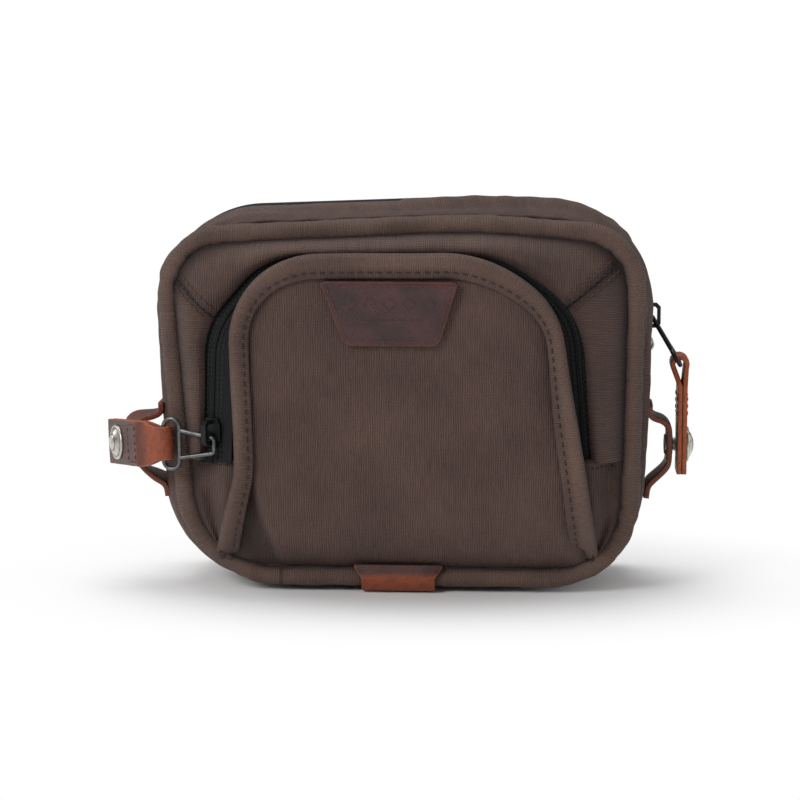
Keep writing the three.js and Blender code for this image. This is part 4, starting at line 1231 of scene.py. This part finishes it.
class Tab:
    """Where a doubled leather tab lies: it hangs from an eye on the wire, and may bend at its knee."""

    def __init__(self, label, hang, back, bend):
        self.eye = joint_place(f"{label}_tab_swing")
        self.hang = hang
        self.back = back
        self.bend = bend
        self.wide = np.cross(hang, back)
        self.bent_hang = hang * math.cos(bend) + back * math.sin(bend)
        self.bent_back = back * math.cos(bend) - hang * math.sin(bend)

    def place(self, down, behind, across=0.0):
        """A place this far down the tab, behind its middle and across it."""
        knee = self.eye + self.hang * TAB_KNEE - self.back * TAB_SET
        if down <= TAB_KNEE:
            return knee + self.hang * (down - TAB_KNEE) + self.back * behind + self.wide * across
        return knee + self.bent_hang * (down - TAB_KNEE) + self.bent_back * behind + self.wide * across

    def centreline(self):
        """Up the inner layer, over the wire, and down the outer one."""
        radius = 3.05
        downs = [TAB_LENGTH, TAB_LENGTH - 8, TAB_LENGTH - 18, TAB_LENGTH - 26, TAB_KNEE + 4, TAB_KNEE, 9]
        inner = [self.place(d, TAB_SPREAD) for d in downs]
        outer = [self.place(d, -TAB_SPREAD) for d in downs[::-1]]
        fold = [self.eye - radius * (self.back * math.cos(a) + self.hang * math.sin(a))
                for a in np.radians(np.linspace(205, -25, 12))]
        return resampled(np.array(inner + fold + outer), 0.9)


def pocket_tab():
    """The pocket's tab, worked back from the direction of its far part."""
    back, droop = POCKET_TAB_BACK, POCKET_TAB_DROOP
    sine, cosine = math.sin(POCKET_TAB_BEND), math.cos(POCKET_TAB_BEND)
    far = np.array([-math.cos(back) * math.cos(droop), math.sin(back) * math.cos(droop), -math.sin(droop)])
    behind = np.array([math.sin(back), math.cos(back), 0.0])
    return Tab("pocket", far * cosine - behind * sine, behind * cosine + far * sine, POCKET_TAB_BEND)


TABS = {"main": Tab("main", np.array([0.0, 0.0, -1.0]), np.array([-1.0, 0.0, 0.0]), 0.0),
        "pocket": pocket_tab()}


def pull_tab(label, tab, body):
    """A doubled leather tab folded over its link, with a stitched box below the fold and a snap."""
    points = tab.centreline()
    depth = (points - tab.eye) @ tab.hang
    half_width = 6.9 + 2.7 * smooth(0.5, 9.5, depth)
    bend = 1.15 * (1 - smooth(4, 11.5, depth))
    if tab.bend:
        bend = bend + 0.25 * np.exp(-((depth - TAB_KNEE) / 3) ** 2)
    strap(f"{label}_pull_tab_leather", points, half_width, tab.wide, 2.05, body, np.clip(bend, 0, 1), 0.12,
          node=f"{label}_pull_tab")
    half, high, low = 7.8, 12.8, 21.5
    corners = [(-half, high), (half, high), (half, low), (-half, low), (-half, high)]
    for side, name in ((1, "outer"), (-1, "inner")):
        box = np.array([tab.place(down, -side * (TAB_FACE + 0.02), across) for across, down in corners])
        stitches(f"{label}_tab_stitch_{name}", resampled(box, 0.7), -side * tab.bent_back, body,
                 "leather_thread", "leather", length=2.1, gap=0.9, radius=0.27)
    snap_cap(label, body, tab.place(SNAP_AT, -TAB_FACE - 0.3), -tab.bent_back)
    socket = [(0.05, -1.0), (5.0, -1.0), (5.2, -0.4), (5.0, 0.1), (3.9, 0.15), (3.5, -0.2), (3.4, -0.8),
              (0.05, -0.8)]
    turned(f"{label}_snap_socket_metal", socket, tab.place(SNAP_AT, 2.1), tab.bent_back, body,
           node=f"{label}_snap_socket")


def wire_link(label, pivot, hang, wide, material):
    """A wire link: a trapezoid neck and a long oval, bent from one round wire."""
    hang, wide = unit(hang), unit(np.array(wide, float))
    up = np.cross(hang, wide)
    reach, half_high, half_straight, wire, sides = 22.5, 3.5, 7.1, 0.95, 10
    middle = reach - half_high
    ends = []
    for x, start, end in ((half_straight, 90, -90), (-half_straight, -90, -270)):
        a = np.radians(np.linspace(start, end, 14))
        ends.append(np.stack([x + half_high * np.cos(a), middle + half_high * np.sin(a)], axis=1))
    oval = resampled(np.vstack(ends), 0.6, True)
    top = middle - half_high
    neck = smooth_line([(-5.8, top), (-3.3, 0.6), (-2.6, 0), (2.6, 0), (3.3, 0.6), (5.8, top)], 0.5)
    for part, flat, node in (("oval", oval, f"{label}_pull_link"), ("neck", neck, None)):
        closed = part == "oval"
        line = pivot + flat[:, :1] * wide + flat[:, 1:] * hang
        side = np.cross(directions(line, closed), up)
        rings = [line + wire * (math.cos(a) * side + math.sin(a) * up)
                 for a in 2 * math.pi * np.arange(sides) / sides]
        swept(f"{label}_link_{part}", np.stack(rings, axis=1), material, f"{label}_link", closed, node=node,
              slot="wire")


def soften(node):
    """Rounds the edges of a CAD node in dark metal."""
    obj = frame["nodes"][node]
    bevel = obj.modifiers.new("soft edges", "BEVEL")
    bevel.width = 0.35 * METRE
    bevel.segments = 3
    bevel.limit_method = "ANGLE"
    obj.data.materials.clear()
    obj.data.materials.append(MATERIALS["dark_metal"])


def pulls():
    """The two zips' tabs and wire links, and the finish of their sliders."""
    for label, wide, metal in (("main", (0, 1, 0), "dark_metal"), ("pocket", (0, 0, 1), "wire")):
        tab = TABS[label]
        pull_tab(label, tab, f"{label}_pull")
        pivot = joint_place(f"{label}_link_swing")
        wire_link(label, pivot, tab.eye - pivot, wide, metal)
    for node in ("main_slider", "main_slider_bridge", "pocket_slider", "pocket_slider_bridge",
                 "pocket_zip_stop_start", "pocket_zip_stop_end"):
        soften(node)


# ------------------------------------------------------------------ side loops, bottom tab, keepers
def side_loops():
    """A strap loop on each side, its crest turned to face the tab that snaps to it."""
    knob = [(0.05, -0.2), (4.2, -0.2), (4.3, 0.15), (4.0, 0.4), (2.6, 0.5), (2.5, 0.8), (3.0, 1.1),
            (3.0, 1.3), (2.4, 1.5), (0.05, 1.5)]
    eyelet = [(0.05, -0.2), (4.5, -0.2), (4.6, 0.3), (4.0, 0.9), (2.6, 1.0), (2.2, 0.7), (2.1, 0.2),
              (0.05, 0.2)]
    for side, label, facing in ((-1, "left", -TABS["pocket"].bent_back), (1, "right", np.array([1.0, 0, 0]))):
        stud = np.mean(box_of(f"loop_stud_{label}"), axis=0)
        crest = stud - facing * 0.7
        middle = np.array([GIRTH.x_at(stud[2], side), stud[2]])

        def on_gusset(rise):
            return GIRTH.x_at(stud[2] + rise, side) + side * 1.2 - middle[0], rise

        reach = abs(crest[0] - middle[0])
        out = side * reach
        line = smooth_line([on_gusset(-22), on_gusset(-17), (out * 0.35, -14.5), (out * 0.9, -9.5), (out, -6),
                            (out, 5), (out * 0.98, 8), (out * 0.75, 10.8), (out * 0.3, 12), on_gusset(14),
                            on_gusset(18)], 0.9)
        twist = math.atan2(-facing[1], abs(facing[0])) * smooth(3.5, reach, np.abs(line[:, 0]))
        across = np.stack([side * np.sin(twist), np.cos(twist), np.zeros(len(twist))], axis=1)
        from_stud = np.abs(line[:, 1])
        half_width = 8.2 + 1.3 * smooth(10, 18, from_stud)
        bend = 0.36 * np.exp(-((from_stud - 9) / 2.2) ** 2) + 0.24 * np.exp(-((from_stud - 15) / 2) ** 2)
        strap(f"side_loop_{label}_leather", at_depth(line + middle, crest[1]), half_width, across, 2.4,
              "main_body", bend, 0.1, edge_tone=0.35, node=f"side_loop_{label}")
        turned(f"loop_stud_{label}_metal", knob, crest + facing * 1.15, facing, "main_body", 36,
               node=f"loop_stud_{label}")
        turned(f"loop_eyelet_{label}_metal", eyelet, crest - facing * 1.2, -facing, "main_body", 36,
               node=f"loop_eyelet_{label}")


def bottom_tab():
    """A leather tab wrapped round the piping and flared where it meets the pocket."""
    low, high = box_of("bottom_tab")
    front, back, top, base = low[1] + 1.0, high[1], high[2], low[2] + 1.1
    line = smooth_line([(front + 1.6, top + 0.6), (front + 0.6, top - 2.5), (front - 0.1, 3.5),
                        (front + 0.8, 0.4), (front + 4, base), (front + 12, base), (back, base)], 0.8)
    half_width = (high[0] - low[0]) / 2 - 1.2 + 3.2 * smooth(3.5, top, line[:, 1])
    bend = 0.95 * (1 - smooth(4.5, 7, line[:, 1]))
    obj = strap("bottom_tab_leather", np.insert(line, 0, 0.0, axis=1), half_width, (1, 0, 0), 1.9, None, bend,
                0.05, node="bottom_tab")
    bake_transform(obj)


def back_keepers():
    """The leather keepers on the back, stitched down at both ends."""
    for label in ("left", "right"):
        (x0, y0, z0), (x1, y1, z1) = box_of(f"back_loop_{label}")
        x, half = (x0 + x1) / 2, (x1 - x0) / 2
        y0, y1 = y0 + 1.0, y1 - 1.0
        # One half, from an end sewn to the panel to the raised middle; the other half mirrors it.
        half_line = [(y0, 0), (y0, 8.5), (y0 + 0.5, 11.5), (y1 - 0.7, 15), (y1, 18)]
        line = [(y, z0 + rise) for y, rise in half_line] + [(y, z1 - rise) for y, rise in half_line[::-1]]
        line = smooth_line(line, 1.0, 2)
        to_end = np.minimum(line[:, 1] - z0, z1 - line[:, 1])
        bend = 0.8 * np.exp(-((to_end - 13) / 2.5) ** 2)
        strap(f"back_loop_{label}_leather", np.insert(line, 0, x, axis=1), half, (1, 0, 0), 2.0, "main_body",
              bend, 0.1, node=f"back_loop_{label}")
        for end, z, inwards in (("low", z0, 1), ("high", z1, -1)):
            left, right, near, far = x - half + 2, x + half - 2, z + inwards * 1.8, z + inwards * 8
            box = np.array([(left, near), (right, near), (right, far), (left, far), (left, near)])
            stitches(f"back_stitch_{label}_{end}", resampled(at_depth(box, y0 + 1.08), 0.7), -FORWARD,
                     "main_body", "leather_thread", "leather", length=2.4, gap=1.0, radius=0.3)


# ------------------------------------------------------------------ stage
def floor():
    """A pale floor that fades to white."""
    reach = 6.0
    mesh = bpy.data.meshes.new("floor")
    mesh.from_pydata([(-reach, -reach, 0), (reach, -reach, 0), (reach, reach, 0), (-reach, reach, 0)], [],
                     [(0, 1, 2, 3)])
    mesh.materials.append(MATERIALS["floor"])
    obj = bpy.data.objects.new("floor", mesh)
    bpy.context.scene.collection.objects.link(obj)


def pointed(name, data, place, direction):
    """Puts a lamp or a camera in the scene, looking in a direction."""
    obj = bpy.data.objects.new(name, data)
    obj.location = place
    obj.rotation_euler = direction.to_track_quat("-Z", "Y").to_euler()
    bpy.context.scene.collection.objects.link(obj)
    return obj


def lamps():
    """Large soft lamps that all look at the bag's middle: (place, size, watts)."""
    aim = Vector((0, 0, 0.07))
    places = {"key": ((-0.95, -1.1, 1.0), 0.8, 14), "fill": ((1.1, -1.2, 0.35), 0.9, 0.5),
              "top": ((-0.1, 0.3, 1.35), 0.9, 11), "left_rim": ((-1.3, 0.5, 0.5), 0.6, 3),
              "right_rim": ((1.3, 0.5, 0.6), 0.6, 2)}
    for name, (place, size, watts) in places.items():
        data = bpy.data.lights.new(name, "AREA")
        data.shape = "DISK"
        data.size = size
        data.energy = watts
        pointed(name, data, place, aim - Vector(place))


def backdrop():
    """The camera sees a white backdrop; the bag is lit by a dimmer one."""
    world = bpy.data.worlds.new("studio")
    bpy.context.scene.world = world
    world.use_nodes = True
    tree = world.node_tree
    seen = tree.nodes.new("ShaderNodeLightPath").outputs["Is Camera Ray"]
    strength = tree.nodes.new("ShaderNodeMapRange")
    strength.inputs["To Min"].default_value = 0.25
    strength.inputs["To Max"].default_value = 1.05
    tree.links.new(seen, strength.inputs["Value"])
    tree.links.new(strength.outputs["Result"], tree.nodes["Background"].inputs["Strength"])
    tree.nodes["Background"].inputs["Color"].default_value = (1, 1, 1, 1)
    bpy.context.scene.view_settings.view_transform = "Standard"


def camera():
    """A long lens, a little to the right of the bag's front and a little above it."""
    azimuth, elevation, distance = math.radians(3.2), math.radians(8.5), 1.1
    data = bpy.data.cameras.new("camera")
    data.lens = 119
    data.sensor_width = 36
    data.clip_start = 0.05
    aim = Vector((0.0007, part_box("front_piping")[0][1], 0.0819))
    level = math.cos(elevation)
    away = Vector((math.sin(azimuth) * level, -math.cos(azimuth) * level, math.sin(elevation)))
    bpy.context.scene.camera = pointed("camera", data, aim + away * distance, -away)


def build():
    make_materials()
    pipings()
    main_gussets()
    main_zip()
    zip_end_clamps()
    panels()
    pocket_gussets()
    pocket_ends()
    pocket_zip()
    pocket_face()
    pocket_welt()
    badge()
    pulls()
    side_loops()
    bottom_tab()
    back_keepers()
    floor()
    lamps()
    backdrop()
    camera()


build()
